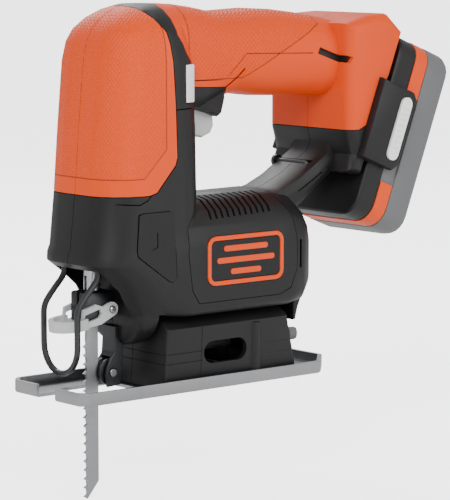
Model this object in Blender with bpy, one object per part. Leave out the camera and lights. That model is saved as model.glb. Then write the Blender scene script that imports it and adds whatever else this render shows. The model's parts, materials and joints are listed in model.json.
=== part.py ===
"""Cordless jigsaw with its blade fitted, modelled as an assembly of separate parts.

Frame: +X is the cutting direction, +Y the tool's left side, +Z up. The origin lies on the
underside of the shoe, on the axis about which the tool tilts for bevel cuts.
Sizes below are in millimetres; finish() scales every mesh to metres.
"""
import math

import bmesh
import bpy
from mathutils import Matrix, Vector

# ---------------------------------------------------------------- driving dimensions (mm)
MM = 0.001
GAP = 0.3                  # clearance between parts that rest on each other
SEAM_GAP = 0.15            # each housing half stops this far from the middle plane

SHOE_HALF_WIDTH = 27.65
SHOE_FRONT = 68.8
SHOE_REAR = -83.0
SHOE_LIP_HEIGHT = 6.0
SHOE_THICKNESS = 1.5
SHOE_SLOT_HALF_WIDTH = 6.8
SHOE_WELL_HALF_WIDTH = 12.0

BASE_FRONT = 21.0
BASE_REAR = -58.5
BASE_HALF_WIDTH = 24.0
BASE_HEIGHT = 28.6
BASE_WALL = 2.5
TUNNEL_CLEARANCE = 0.7     # between the round top of the base and the body over it
TUNNEL_LINING = 1.5

BODY_BOTTOM = 34.0
BODY_HALF_WIDTH = 27.0
MOTOR_HALF_WIDTH = 28.0
HANDLE_HALF_WIDTH = 18.5
STRUT_HALF_WIDTH = 15.0
REAR_HALF_WIDTH = 29.0
SKIN = 1.8                 # depth of the outer layer that the covers replace
WALL = 1.7                 # housing wall behind that layer

MOTOR_RADIUS = 17.9
MOTOR_LENGTH = 55.0
MOTOR_FRONT = 8.0
MOTOR_CLEARANCE = 2.8
MOTOR_CAN_WALL = 2.0
SHAFT_RADIUS = 1.6

GEAR_TEETH = 54
PINION_TEETH = 9
TOOTH_MODULE = 0.8
TOOTH_DEPTH = 0.9
MESH_GAP = 0.35
GEAR_WIDTH = 5.0
GEAR_REAR = 24.0

STROKE = 19.0
YOKE_LOST_MOTION = 2.2     # clearance each way in the yoke slot
CRANK_ROLLER_RADIUS = 3.5
ROD_RADIUS = 3.8
UPPER_ROD_RADIUS = 2.6
UPPER_BUSH_BOTTOM = 103.5
UPPER_BUSH_TOP = 108.5
ROD_X = 42.7
BUSH_RADIUS = 5.1

BLADE_BACK = 40.0
BLADE_WIDTH = 8.0
BLADE_THICKNESS = 1.3
BLADE_TIP = -47.7
BLADE_LENGTH = 100.0
TOOTH_PITCH = 4.0
TOOTH_HEIGHT = 1.7
TOOTHED_LENGTH = 75.0

CLAMP_HALF_WIDTH = 6.0
CLAMP_BOTTOM = 33.0
CLAMP_TOP = 46.5
LEVER_PIN_X = 37.4
LEVER_PIN_Z = 38.3
LEVER_PIN_RADIUS = 1.5
LEVER_PLATE = 1.5

ROLLER_RADIUS = 6.2
ROLLER_GROOVE_DEPTH = 1.1
ROLLER_WIDTH = 5.6
ROLLER_HEIGHT = 9.0
ROLLER_PIN_RADIUS = 1.8

GUARD_WIRE_RADIUS = 1.4
GUARD_HALF_WIDTH = 12.4
GUARD_X = 60.3
POCKET_HALF_WIDTH = 15.5
POCKET_TOP = 57.0
POCKET_REAR = 32.5
CHIN_SOCKET_TOP = 30.0     # hollow in the chin that holds the roller's bracket

TRIGGER_HALF_WIDTH = 6.5
RELEASE_TRAVEL = 2.5

PACK_TILT = 21.5           # degrees that the battery leans back
PACK_HALF_WIDTH = 29.0
PACK_BOTTOM = 100.0        # along the battery's long direction
PACK_TOP = 190.5
PACK_REAR = 91.3           # along the direction in which the battery slides off
PACK_MOUTH = 56.0
PACK_COLLAR = 11.0
PACK_WALL = 1.6
PACK_CORNER = 10.0
TOWER_HALF_WIDTH = 24.0
TOWER_DEPTH = 12.0
TOWER_BOTTOM = 150.0       # along the battery, like its top
TOWER_TOP = 182.5
CELL_RADIUS = 8.8
CELL_LENGTH = 65.0

SCREW_RADIUS = 1.5
SCREW_HEAD_RADIUS = 3.0

# ---------------------------------------------------------------- sizes worked out
SHELL = SKIN + WALL
SADDLE_RADIUS = math.hypot(BASE_HALF_WIDTH, BASE_HEIGHT)
TUNNEL_RADIUS = SADDLE_RADIUS + TUNNEL_CLEARANCE
MOTOR_AXIS_Z = BODY_BOTTOM + SHELL + MOTOR_CLEARANCE + MOTOR_RADIUS
GEAR_PITCH_RADIUS = GEAR_TEETH * TOOTH_MODULE / 2
PINION_PITCH_RADIUS = PINION_TEETH * TOOTH_MODULE / 2
GEAR_AXIS_Z = MOTOR_AXIS_Z + GEAR_PITCH_RADIUS + PINION_PITCH_RADIUS
CRANK_RADIUS = STROKE / 2
GEAR_FRONT = GEAR_REAR + GEAR_WIDTH
ROLLER_X = BLADE_BACK - GAP - ROLLER_RADIUS + ROLLER_GROOVE_DEPTH
BRACKET_REAR = BASE_FRONT + 8.0
BRACKET_HALF_WIDTH = ROLLER_WIDTH / 2 + GAP + 1.5
LOWER_BODY_HEIGHT = MOTOR_AXIS_Z + MOTOR_RADIUS + SHELL + 6.9
PACK_SIN = math.sin(math.radians(PACK_TILT))
PACK_COS = math.cos(math.radians(PACK_TILT))
COLLAR_REAR = PACK_MOUTH + PACK_COLLAR

ORANGE = (0.87, 0.14, 0.021)
BLACK = (0.021, 0.021, 0.021)
DARK_STEEL = (0.12, 0.12, 0.12)
STEEL = (0.42, 0.42, 0.42)
BRIGHT_STEEL = (0.62, 0.62, 0.62)
PALE_PLASTIC = (0.55, 0.55, 0.55)
WHITE_PLASTIC = (0.80, 0.80, 0.80)
GREY_PLASTIC = (0.22, 0.22, 0.22)
COPPER = (0.60, 0.28, 0.12)
BRASS = (0.55, 0.42, 0.16)
GREEN = (0.05, 0.22, 0.10)


# ---------------------------------------------------------------- mesh helpers
def pack_point(u, n):
    """World (x, z) of a point given along the battery (u) and along its slide (n)."""
    return (-PACK_SIN * u - PACK_COS * n, PACK_COS * u - PACK_SIN * n)


def make_object(name, bm):
    """Puts a bmesh, in millimetres, into a new object."""
    mesh = bpy.data.meshes.new(name)
    bmesh.ops.recalc_face_normals(bm, faces=bm.faces)
    bm.to_mesh(mesh)
    bm.free()
    obj = bpy.data.objects.new(name, mesh)
    bpy.context.collection.objects.link(obj)
    return obj


def rounded_section(a0, a1, b0, b1, radii, steps=4):
    """Closed outline of a rectangle whose corners have their own radii.

    The corners come in the order (a1, b0), (a1, b1), (a0, b1), (a0, b0).
    """
    limit = 0.49 * min(a1 - a0, b1 - b0)
    corners = ((a1, b0, -1, 1, -90), (a1, b1, -1, -1, 0), (a0, b1, 1, -1, 90), (a0, b0, 1, 1, 180))
    points = []
    for (a, b, side_a, side_b, start), wanted in zip(corners, radii):
        radius = max(0.2, min(wanted, limit))
        for step in range(steps + 1):
            angle = math.radians(start + 90 * step / steps)
            points.append((a + side_a * radius + radius * math.cos(angle),
                           b + side_b * radius + radius * math.sin(angle)))
    return points


def loft(rings):
    """Closed solid through rings of equally many points."""
    bm = bmesh.new()
    loops = [[bm.verts.new(point) for point in ring] for ring in rings]
    count = len(loops[0])
    for lower, upper in zip(loops, loops[1:]):
        for i in range(count):
            j = (i + 1) % count
            bm.faces.new((lower[i], lower[j], upper[j], upper[i]))
    bm.faces.new(loops[0])
    bm.faces.new(loops[-1])
    return bm


def prism(outline, y0, y1, edge=0.0, segments=2, both=True):
    """Solid of an (x, z) outline between two y planes, its rim rounded by edge."""
    bm = bmesh.new()
    base = [bm.verts.new((x, y0, z)) for x, z in outline]
    face = bm.faces.new(base)
    moved = bmesh.ops.extrude_face_region(bm, geom=[face])["geom"]
    verts = [item for item in moved if isinstance(item, bmesh.types.BMVert)]
    bmesh.ops.translate(bm, verts=verts, vec=(0, y1 - y0, 0))
    if edge > 0:
        def on_rim(e):
            ys = [v.co.y for v in e.verts]
            at_far = all(abs(y - y1) < 1e-4 for y in ys)
            at_near = all(abs(y - y0) < 1e-4 for y in ys)
            return at_far or (both and at_near)
        rim = [e for e in bm.edges if on_rim(e)]
        bmesh.ops.bevel(bm, geom=rim, offset=edge, affect="EDGES", segments=segments,
                        profile=0.5, material=-1, clamp_overlap=True)
    return bm


def offset_outline(points, distance):
    """Moves each side of a convex or nearly convex anticlockwise outline inwards."""
    if distance == 0:
        return list(points)
    result = []
    count = len(points)
    for i in range(count):
        previous, here, following = points[i - 1], points[i], points[(i + 1) % count]
        first = Vector((here[0] - previous[0], here[1] - previous[1])).normalized()
        second = Vector((following[0] - here[0], following[1] - here[1])).normalized()
        normal_1 = Vector((-first.y, first.x))
        normal_2 = Vector((-second.y, second.x))
        bisector = (normal_1 + normal_2).normalized()
        reach = distance / max(0.35, bisector.dot(normal_1))
        result.append((here[0] + bisector.x * reach, here[1] + bisector.y * reach))
    return result


def block(x0, x1, y0, y1, z0, z1, edge=0.0, segments=1):
    """Box between two corners, all its edges rounded by edge."""
    bm = bmesh.new()
    bmesh.ops.create_cube(bm, size=1.0)
    bmesh.ops.scale(bm, verts=bm.verts, vec=(x1 - x0, y1 - y0, z1 - z0))
    bmesh.ops.translate(bm, verts=bm.verts, vec=((x0 + x1) / 2, (y0 + y1) / 2, (z0 + z1) / 2))
    if edge > 0:
        bmesh.ops.bevel(bm, geom=list(bm.edges), offset=edge, affect="EDGES", segments=segments,
                        profile=0.5, material=-1, clamp_overlap=True)
    return bm


def turn_to(axis):
    """Rotation that carries +Z to the named axis."""
    if axis == "X":
        return Matrix.Rotation(math.radians(90), 4, "Y")
    if axis == "Y":
        return Matrix.Rotation(math.radians(-90), 4, "X")
    return Matrix.Identity(4)


def rod(axis, centre, radius, low, high, sides=24, edge=0.0):
    """Solid cylinder from low to high along an axis through centre."""
    return turned(axis, centre, [(0, low), (radius, low), (radius, high), (0, high)], sides, edge)


def turned(axis, centre, profile, sides=24, edge=0.0):
    """Solid of revolution of a (radius, along) profile that starts and ends on the axis."""
    rings = []
    for radius, along in profile:
        if radius <= 0:
            rings.append([(0, 0, along)])
            continue
        rings.append([(radius * math.cos(math.tau * i / sides),
                       radius * math.sin(math.tau * i / sides), along) for i in range(sides)])
    return finish_turn(rings, axis, centre, sides, edge)


def tube(axis, centre, inner, outer, low, high, sides=24):
    """Open sleeve from low to high."""
    rings = []
    for radius, along in ((outer, low), (outer, high), (inner, high), (inner, low), (outer, low)):
        rings.append([(radius * math.cos(math.tau * i / sides),
                       radius * math.sin(math.tau * i / sides), along) for i in range(sides)])
    return finish_turn(rings, axis, centre, sides, 0.0)


def finish_turn(rings, axis, centre, sides, edge):
    """Skins the rings of a turned shape and carries it to its axis."""
    bm = bmesh.new()
    loops = [[bm.verts.new(point) for point in ring] for ring in rings]
    for lower, upper in zip(loops, loops[1:]):
        for i in range(sides):
            j = (i + 1) % sides
            corners = (lower[i % len(lower)], lower[j % len(lower)],
                       upper[j % len(upper)], upper[i % len(upper)])
            unique = list(dict.fromkeys(corners))
            if len(unique) > 2:
                bm.faces.new(unique)
    bmesh.ops.remove_doubles(bm, verts=bm.verts, dist=0.001)
    bmesh.ops.recalc_face_normals(bm, faces=bm.faces)
    if edge > 0:
        sharp = [e for e in bm.edges if e.is_manifold and e.calc_face_angle(0) > math.radians(60)]
        bmesh.ops.bevel(bm, geom=sharp, offset=edge, affect="EDGES", segments=1,
                        profile=0.5, material=-1)
    bmesh.ops.transform(bm, matrix=Matrix.Translation(centre) @ turn_to(axis), verts=bm.verts)
    return bm


def bent_bar(path, radius, sides=10):
    """Round bar whose centre line follows the path's points."""
    points = [Vector(p) for p in path]
    bm = bmesh.new()
    loops = []
    across = Vector((1, 0, 0))
    for i, point in enumerate(points):
        ahead = points[min(i + 1, len(points) - 1)] - points[max(i - 1, 0)]
        ahead.normalize()
        across = (across - ahead * across.dot(ahead)).normalized()
        side = ahead.cross(across)
        loops.append([bm.verts.new(point + radius * (math.cos(math.tau * k / sides) * across
                                                     + math.sin(math.tau * k / sides) * side))
                      for k in range(sides)])
    for lower, upper in zip(loops, loops[1:]):
        for i in range(sides):
            j = (i + 1) % sides
            bm.faces.new((lower[i], lower[j], upper[j], upper[i]))
    bm.faces.new(loops[0])
    bm.faces.new(loops[-1])
    return bm


def smooth_path(points, per_span=4):
    """Points of a smooth curve through the given ones."""
    knots = [Vector(p) for p in points]
    result = []
    for i in range(len(knots) - 1):
        before = knots[max(i - 1, 0)]
        start, end = knots[i], knots[i + 1]
        after = knots[min(i + 2, len(knots) - 1)]
        for step in range(per_span):
            t = step / per_span
            result.append(0.5 * ((2 * start) + (end - before) * t
                                 + (2 * before - 5 * start + 4 * end - after) * t * t
                                 + (3 * start - before - 3 * end + after) * t ** 3))
    result.append(knots[-1])
    return result




def boolean(target, tools, operation):
    """Applies EXACT booleans of each tool object to the target and removes the tools."""
    for tool in tools:
        modifier = target.modifiers.new("cut", "BOOLEAN")
        modifier.operation = operation
        modifier.solver = "EXACT"
        modifier.object = tool
        bpy.context.view_layer.update()
        graph = bpy.context.evaluated_depsgraph_get()
        result = bpy.data.meshes.new_from_object(target.evaluated_get(graph))
        target.modifiers.clear()
        spent = target.data
        target.data = result
        bpy.data.meshes.remove(spent)
        bpy.data.objects.remove(tool)
    return target


def union(name, solids):
    """One object from several overlapping bmesh solids."""
    target = make_object(name, solids[0])
    return boolean(target, [make_object("tool", bm) for bm in solids[1:]], "UNION")


def cut(target, solids):
    """Takes bmesh solids away from an object."""
    return boolean(target, [make_object("tool", bm) for bm in solids], "DIFFERENCE")


def copy_of(obj, name):
    """Second object with its own copy of the mesh."""
    twin = bpy.data.objects.new(name, obj.data.copy())
    bpy.context.collection.objects.link(twin)
    return twin


def mirrored(obj, name):
    """Copy of an object on the other side of the middle plane."""
    twin = copy_of(obj, name)
    bm = bmesh.new()
    bm.from_mesh(twin.data)
    bmesh.ops.scale(bm, verts=bm.verts, vec=(1, -1, 1))
    bmesh.ops.reverse_faces(bm, faces=bm.faces)
    bm.to_mesh(twin.data)
    bm.free()
    return twin


def tidy(obj):
    """Merges stray points left by the booleans and splits the faces into triangles."""
    bm = bmesh.new()
    bm.from_mesh(obj.data)
    bmesh.ops.remove_doubles(bm, verts=bm.verts, dist=0.004)
    bmesh.ops.dissolve_degenerate(bm, edges=bm.edges, dist=0.004)
    bmesh.ops.triangulate(bm, faces=bm.faces)
    bm.to_mesh(obj.data)
    bm.free()
    return obj


def material(name, colour, roughness, metallic=0.0):
    """Principled material, made once for each name."""
    found = bpy.data.materials.get(name)
    if found:
        return found
    new = bpy.data.materials.new(name)
    new.use_nodes = True
    shader = new.node_tree.nodes["Principled BSDF"]
    shader.inputs["Base Color"].default_value = (*colour, 1.0)
    shader.inputs["Roughness"].default_value = roughness
    shader.inputs["Metallic"].default_value = metallic
    new.diffuse_color = (*colour, 1.0)
    return new


def finish(obj, name, finish_material, origin=(0, 0, 0)):
    """Names a part, scales it to metres and puts its origin on its joint axis."""
    obj.name = name
    obj.data.name = name
    obj.data.transform(Matrix.Scale(MM, 4) @ Matrix.Translation(-Vector(origin)))
    obj.location = Vector(origin) * MM
    obj.data.materials.clear()
    obj.data.materials.append(finish_material)
    obj.data.shade_smooth()
    obj.data.set_sharp_from_angle(angle=math.radians(32))
    return obj


def part(name, bm, finish_material, origin=(0, 0, 0)):
    """Finished part straight from a bmesh."""
    return finish(make_object(name, bm), name, finish_material, origin)


# ---------------------------------------------------------------- materials
def black_abs():
    return material("black_abs", BLACK, 0.5)


def orange_abs():
    return material("orange_abs", ORANGE, 0.42)


def orange_tpe():
    return material("orange_tpe", ORANGE, 0.6)


def grey_abs():
    return material("grey_abs", GREY_PLASTIC, 0.5)


def pale_abs():
    return material("pale_abs", PALE_PLASTIC, 0.45)


def white_abs():
    return material("white_abs", WHITE_PLASTIC, 0.4)


def steel():
    return material("steel", STEEL, 0.35, 1.0)


def bright_steel():
    return material("bright_steel", BRIGHT_STEEL, 0.25, 1.0)


def dark_steel():
    return material("dark_steel", DARK_STEEL, 0.3, 1.0)


def bronze():
    return material("sintered_bronze", BRASS, 0.45, 1.0)


def copper():
    return material("copper", COPPER, 0.35, 1.0)


def cell_wrap():
    return material("cell_wrap", GREEN, 0.4)


# ---------------------------------------------------------------- outer form of the tool
def column_form(inset):
    """Upright front column with its rounded front and domed top."""
    half = BODY_HALF_WIDTH
    # height, front, rear, half-width, front radius, rear radius
    sections = (
        (36.0, 33.5, 4.0, half - 2.5, 13.0, 8.0),
        (41.0, 37.0, 3.0, half - 0.8, 15.0, 10.0),
        (47.0, 40.5, 1.0, half, 16.5, 12.0),
        (54.0, 48.5, -1.5, half, 16.5, 15.0),
        (59.5, 56.2, -3.0, half, 16.5, 15.0),
        (63.0, 56.0, -3.3, half, 16.5, 15.0),
        (66.0, 54.6, -3.3, half, 16.5, 15.0),
        (90.0, 52.0, -3.3, half, 16.5, 15.0),
        (118.0, 49.8, -2.7, half, 16.5, 15.0),
        (148.0, 47.0, -0.5, half, 16.5, 15.0),
        (156.5, 45.3, 0.5, half - 0.8, 16.5, 16.5),
        (162.0, 42.3, 1.5, half - 2.6, 15.5, 15.5),
        (167.0, 37.4, 3.0, half - 6.5, 14.0, 14.0),
        (170.8, 31.0, 4.0, half - 12.0, 11.0, 11.0),
        (173.2, 24.0, 6.0, half - 19.0, 7.0, 7.0),
    )
    rings = []
    last = len(sections) - 1
    for i, (z, front, rear, width, front_radius, rear_radius) in enumerate(sections):
        height = z + inset if i == 0 else (z - inset if i > last - 3 else z)
        radii = [front_radius - inset] * 2 + [rear_radius - inset] * 2
        outline = rounded_section(rear + inset, front - inset, inset - width, width - inset, radii)
        rings.append([(x, y, height) for x, y in outline])
    return loft(rings)


def motor_form(inset):
    """Lower body round the motor, with its skirt."""
    half = MOTOR_HALF_WIDTH
    low = BODY_BOTTOM
    top = LOWER_BODY_HEIGHT
    # x, bottom, top, half-width, lower radius, upper radius
    sections = (
        (26.0, low + 3.0, top - 6.0, half - 3.0, 5.0, 18.0),
        (18.0, low + 1.0, top - 2.0, half - 0.8, 4.0, 19.0),
        (8.0, low, top - 0.5, half, 4.0, 20.0),
        (-50.0, low, top, half, 4.0, 20.0),
        (-60.0, low + 1.0, top - 2.0, half - 1.0, 6.0, 20.0),
        (-66.0, low + 4.5, top - 6.0, half - 4.5, 8.0, 18.0),
        (-69.0, low + 9.0, top - 11.0, half - 9.0, 8.0, 14.0),
    )
    rings = []
    last = len(sections) - 1
    for i, (x, bottom, upper, width, low_radius, top_radius) in enumerate(sections):
        along = x - inset if i == 0 else (x + inset if i == last else x)
        radii = (low_radius - inset, top_radius - inset, top_radius - inset, low_radius - inset)
        outline = rounded_section(inset - width, width - inset, bottom + inset, upper - inset, radii)
        rings.append([(along, y, z) for y, z in outline])
    return loft(rings)


def handle_form(inset):
    """Handle bar between the column and the battery end."""
    half = HANDLE_HALF_WIDTH
    # x, underside, top, half-width
    sections = (
        (14.0, 122.0, 172.6, half + 2.0),
        (2.0, 122.0, 172.9, half + 1.5),
        (-10.0, 124.0, 171.3, half + 0.6),
        (-22.0, 129.0, 169.0, half),
        (-32.0, 131.5, 169.4, half),
        (-45.0, 129.8, 170.0, half),
        (-58.0, 129.2, 169.3, half),
        (-72.0, 129.0, 167.6, half + 0.6),
        (-86.0, 128.0, 165.2, half + 2.5),
        (-97.0, 126.0, 162.3, half + 5.5),
        (-106.0, 125.0, 161.2, half + 6.5),
    )
    rings = []
    last = len(sections) - 1
    for i, (x, bottom, upper, width) in enumerate(sections):
        along = x - inset if i == 0 else (x + inset if i == last else x)
        outline = rounded_section(inset - width, width - inset, bottom + inset, upper - inset,
                                  [15.0 - inset] * 4)
        rings.append([(along, y, z) for y, z in outline])
    return loft(rings)


def rear_outline():
    """Side outline, anticlockwise, of the block that receives the battery."""
    return [(-86.0, 112.0), (-86.0, 162.5), (-100.0, 166.0), (-112.0, 166.6),
            pack_point(PACK_TOP + 1.0, PACK_MOUTH - GAP), pack_point(PACK_BOTTOM + 20.0, PACK_MOUTH - GAP),
            pack_point(PACK_BOTTOM + 18.5, 46.0), (-89.0, 101.5)]


def rear_form(inset):
    outline = offset_outline(rear_outline(), inset)
    half = REAR_HALF_WIDTH - inset
    return prism(outline, -half, half, max(0.5, 9.0 - inset), 3)


def strut_outline():
    """Side outline of the sloping strut from the motor body up to the battery end."""
    return [(-45.3, 77.4), (-46.1, 84.3), (-57.3, 86.9), (-68.5, 91.8), (-85.3, 102.1), (-91.4, 112.6),
            (-103.7, 113.1), (-103.1, 101.3), (-92.0, 93.5), (-62.9, 72.7)]


def strut_form(inset):
    outline = offset_outline(strut_outline(), inset)
    half = STRUT_HALF_WIDTH - inset
    return prism(outline, -half, half, max(0.5, 5.0 - inset), 2)


FORMS = (column_form, motor_form, handle_form, rear_form, strut_form)


def tool_form(name, inset):
    """Union of the tool's main volumes, all made smaller by inset."""
    return union(name, [form(inset) for form in FORMS])


def left_only(obj):
    """Keeps what lies on the left of the middle plane."""
    return cut(obj, [block(-250, 150, -90, SEAM_GAP, -60, 260)])


def column_cover_region(grow):
    """Side outline of the orange cover on the column."""
    g = grow
    return [(80, 90 - g), (31 - g, 90 - g), (27 - g, 91 - g), (16.5 - g, 102.5 - g), (15.3 - g, 106),
            (16.2 - g, 130), (17.6 - g, 149), (19.5 - g, 161), (24 - g, 168.5), (31 - g, 180), (80, 185)]


def grip_cover_region(grow):
    """Side outline of the orange cover over the handle and the battery end."""
    g = grow
    return [(14 + g, 185), (13 + g, 160), (8 + g, 152), (3 + g, 146.5), (1 + g, 142), (0.5 + g, 136.2 - g),
            (-22.6 + g, 135.2 - g), (-26.2 + g, 130 - g), (-28 + g, 120), (-80, 113 - g),
            (-92, 113 - g), (-98, 115.5 - g), (-104 - g, 122 - g), (-106 - g, 131),
            (-112 - g, 138 - g), (-170, 150 - g), (-170, 185)]


def motor_cover_region(grow):
    """Side outline of the black cover over the motor."""
    g = grow
    return [(7.5 + g, 46 - g), (9.5 + g, 62), (9 + g, 74), (4 + g, 82), (-3 + g, 85.5),
            (-8.9 + g, 88.5), (-45.0 - g, 88.5), (-46.5 - g, 85.4), (-49 - g, 83.5),
            (-53.5 - g, 76), (-55 - g, 64), (-55 - g, 51),
            (-51 - g, 42.5 - g), (-44, 39.9 - g), (3.5 + g, 39.9 - g)]


def region_solid(outline):
    """Block of a side outline, wide enough to pass through the whole tool."""
    return prism(outline, -60, 60)


def cover_half(name, region):
    """Left cover shell lying in the outer layer of the tool."""
    shell = left_only(tool_form(name, 0.0))
    boolean(shell, [make_object("tool", region_solid(region(0.0)))], "INTERSECT")
    return boolean(shell, [tool_form("core", SKIN - GAP)], "DIFFERENCE")


# ---------------------------------------------------------------- housing
SCREW_POINTS = ((-64.0, 62.0), (14.2, 45.5), (6.0, 158.0), (-60.0, 150.0), (-78.0, 96.5))
SCREW_HEAD_Y = -12.3
SCREW_END_Y = 10.0


def chin_form():
    """Nose of the body that hangs in front of the base."""
    rear, front, half, bottom, rise = BASE_FRONT + 0.8, 31.5, 15.0, 20.3, 4.9
    outline = [(SEAM_GAP, 45.0), (22.5, 45.0), (21.6, 34.0), (19.2, 28.8)]
    for step in range(6):
        y = half * (1 - step / 5)
        outline.append((max(y, SEAM_GAP), bottom + rise * (y / half) ** 2))
    rings = []
    for x, size in ((rear, 1.0), (front - 3.5, 1.0), (front - 1.2, 0.95), (front, 0.86)):
        rings.append([(x, max(y * size, SEAM_GAP), 45.0 + (z - 45.0) * size) for y, z in outline])
    return loft(rings)


def tunnel_form(grow):
    """Round space over the base in which the body tilts for bevel cuts."""
    return rod("X", (0, 0, 0), TUNNEL_RADIUS + grow, BASE_REAR - 0.8, BASE_FRONT + 0.8, 72)


def tail_form():
    """Part of the body that hangs behind the base."""
    outline = [(-59.5, 25.4), (-59.5, 45.0), (-68.0, 46.0), (-66.5, 40.0), (-62.5, 31.0), (-61.0, 25.4)]
    return prism(outline, SEAM_GAP, 20.0, 2.0, 2, both=False)


def throat_outline(grow):
    """Side outline of the black throat behind the column, round the trigger."""
    g = grow
    return [(4 + g, 127.5 - g), (-4.6, 126.6 - g), (-18.1, 122.8 - g), (-21.0, 121.5 - g), (-23.0 - g, 123.0),
            (-25.0 - g, 130.0), (-24.0 - g, 141 + g), (4 + g, 141 + g)]


def throat_form():
    return prism(throat_outline(0.0), SEAM_GAP, 12.5, 2.0, 2, both=False)


def ear_outline(grow):
    low, high = PACK_BOTTOM + 27.0 - grow, PACK_BOTTOM + 66.0 + grow
    front, rear = PACK_MOUTH - 8.0 - grow, COLLAR_REAR + 5.0 + grow
    return [pack_point(low, front), pack_point(high, front), pack_point(high, rear - 3),
            pack_point(high - 3, rear), pack_point(low + 3, rear), pack_point(low, rear - 3)]


def pack_space():
    """Room that the battery takes behind the tool."""
    return loft([pack_ring(-GAP, PACK_MOUTH), pack_ring(-GAP, PACK_REAR + 9.0)])


def ear_form():
    """Boss beside the battery that carries its release button."""
    low, high = REAR_HALF_WIDTH - 4.0, REAR_HALF_WIDTH + 4.0
    ear = make_object("ear", prism(ear_outline(0.0), low, high, 2.0, 2, both=False))
    return cut(ear, [pack_space()])


def pocket_form():
    """Space in front of the chin for the rod, the clamp and the blade."""
    return block(POCKET_REAR, 90.0, -POCKET_HALF_WIDTH, POCKET_HALF_WIDTH, 20.0, POCKET_TOP)


def pocket_walls():
    """Solid left round the pocket and under the gears, which also holds the lower bush."""
    side = POCKET_HALF_WIDTH + WALL
    return block(POCKET_REAR - 2.0, 62.0, -side, side, 30.0, POCKET_TOP + 5.5)


def upper_bush_web():
    return block(ROD_X - 9.0, ROD_X + 12.0, -30.0, 30.0, UPPER_BUSH_BOTTOM, UPPER_BUSH_TOP)


def motor_rib(x):
    """Web across the lower body that grips the motor."""
    rib = make_object("rib", block(x - 1.2, x + 1.2, -40.0, 40.0, 30.0, 90.0))
    return cut(rib, [rod("X", (0, 0, MOTOR_AXIS_Z), MOTOR_RADIUS + GAP, x - 5, x + 5, 40)])


def boss(x, z):
    return rod("Y", (x, 0, z), SCREW_HEAD_RADIUS + 1.8, -40.0, 40.0, 16)


def receiver_form():
    """Opening for the battery's tower."""
    low, high = TOWER_BOTTOM - 0.6, TOWER_TOP + 0.6
    front, rear = PACK_MOUTH - TOWER_DEPTH - 1.5, PACK_MOUTH + 20.0
    outline = [pack_point(low, front), pack_point(low, rear), pack_point(high, rear), pack_point(high, front)]
    return prism(outline, -TOWER_HALF_WIDTH - GAP, TOWER_HALF_WIDTH + GAP)


LOCK_REAR, LOCK_FRONT = 1.5, 9.5
LOCK_BOTTOM, LOCK_TOP = 129.8, 146.6


def trigger_slot_form():
    half = TRIGGER_HALF_WIDTH + GAP
    return block(-40.0, 10.5, -half, half, 108.0, 129.0)


def lock_bore_form():
    return block(LOCK_REAR - GAP, LOCK_FRONT + GAP, -60.0, 60.0, LOCK_BOTTOM - GAP, LOCK_TOP + GAP)


def capsule(low, high, middle, half, steps=6):
    """Outline along the battery: a strip with round ends."""
    points = []
    for end, start in ((high - half, 0), (low + half, 180)):
        for step in range(steps + 1):
            angle = math.radians(start + 180 * step / steps)
            points.append(pack_point(end + half * math.sin(angle), middle + half * math.cos(angle)))
    return points


RELEASE_LOW = PACK_BOTTOM + 31.0
RELEASE_HIGH = PACK_BOTTOM + 62.0
RELEASE_MIDDLE = PACK_MOUTH + 9.0
RELEASE_HALF = 3.3


def release_bore_form():
    return prism(capsule(RELEASE_LOW - GAP, RELEASE_HIGH + GAP, RELEASE_MIDDLE, RELEASE_HALF + GAP),
                 PACK_HALF_WIDTH - 5.0, 60.0)


def pad_outline(grow=0.0):
    """Side outline of the flat five-sided pad on the body."""
    g = grow
    return [(38.2 + g, 65.7), (37.0 + g, 81.6 + g), (34.9, 82.3 + g), (19.9, 82.3 + g), (17.6 - g, 81.0),
            (16.2 - g, 52.5), (18.4, 50.7 - g), (20.4, 51.4 - g), (37.4 + g, 63.4 - g)]


BADGE_X0, BADGE_X1 = -46.0, -1.0
BADGE_Z0, BADGE_Z1 = 47.0, 69.3
BADGE_STROKE = 2.0
BADGE_DEPTH = 0.7


def badge_ring(name, grow, y0, y1):
    """Rounded rectangular frame on the motor's side."""
    def outline(inset):
        return rounded_section(BADGE_X0 + inset, BADGE_X1 - inset, BADGE_Z0 + inset, BADGE_Z1 - inset,
                               [4.5 - inset] * 4, 4)
    ring = make_object(name, prism(outline(-grow), y0, y1))
    return cut(ring, [prism(outline(BADGE_STROKE + grow), y0 - 5, y1 + 5)])


def housing_cavity():
    """Inside of the clamshell with its webs and bosses left standing."""
    cavity = tool_form("cavity", SHELL)
    webs = [make_object("web", pocket_walls()), make_object("web", upper_bush_web())]
    webs += [make_object("web", tunnel_form(TUNNEL_LINING))]
    webs += [motor_rib(x) for x in (MOTOR_FRONT - 6.0, MOTOR_FRONT - MOTOR_LENGTH + 6.0)]
    webs += [make_object("web", boss(x, z)) for x, z in SCREW_POINTS]
    return boolean(cavity, webs, "DIFFERENCE")


def bush_bores():
    """Holes for the rod's two bushes and the rod between them."""
    grow = BUSH_RADIUS + GAP
    return [rod("Z", (ROD_X, 0, 0), grow, POCKET_TOP - 1.0, POCKET_TOP + 8.0, 32),
            rod("Z", (ROD_X, 0, 0), grow, UPPER_BUSH_BOTTOM - 2.0, UPPER_BUSH_TOP + 2.0, 32)]


def bracket_socket():
    half = BRACKET_HALF_WIDTH + GAP
    return block(BRACKET_REAR - GAP, 40.0, -half, half, 0.0, CHIN_SOCKET_TOP)


def guard_sockets():
    return [rod("Z", (48.8, side * GUARD_HALF_WIDTH, 0), GUARD_WIRE_RADIUS + GAP, POCKET_TOP - 4, 61.9, 16)
            for side in (-1, 1)]


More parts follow.
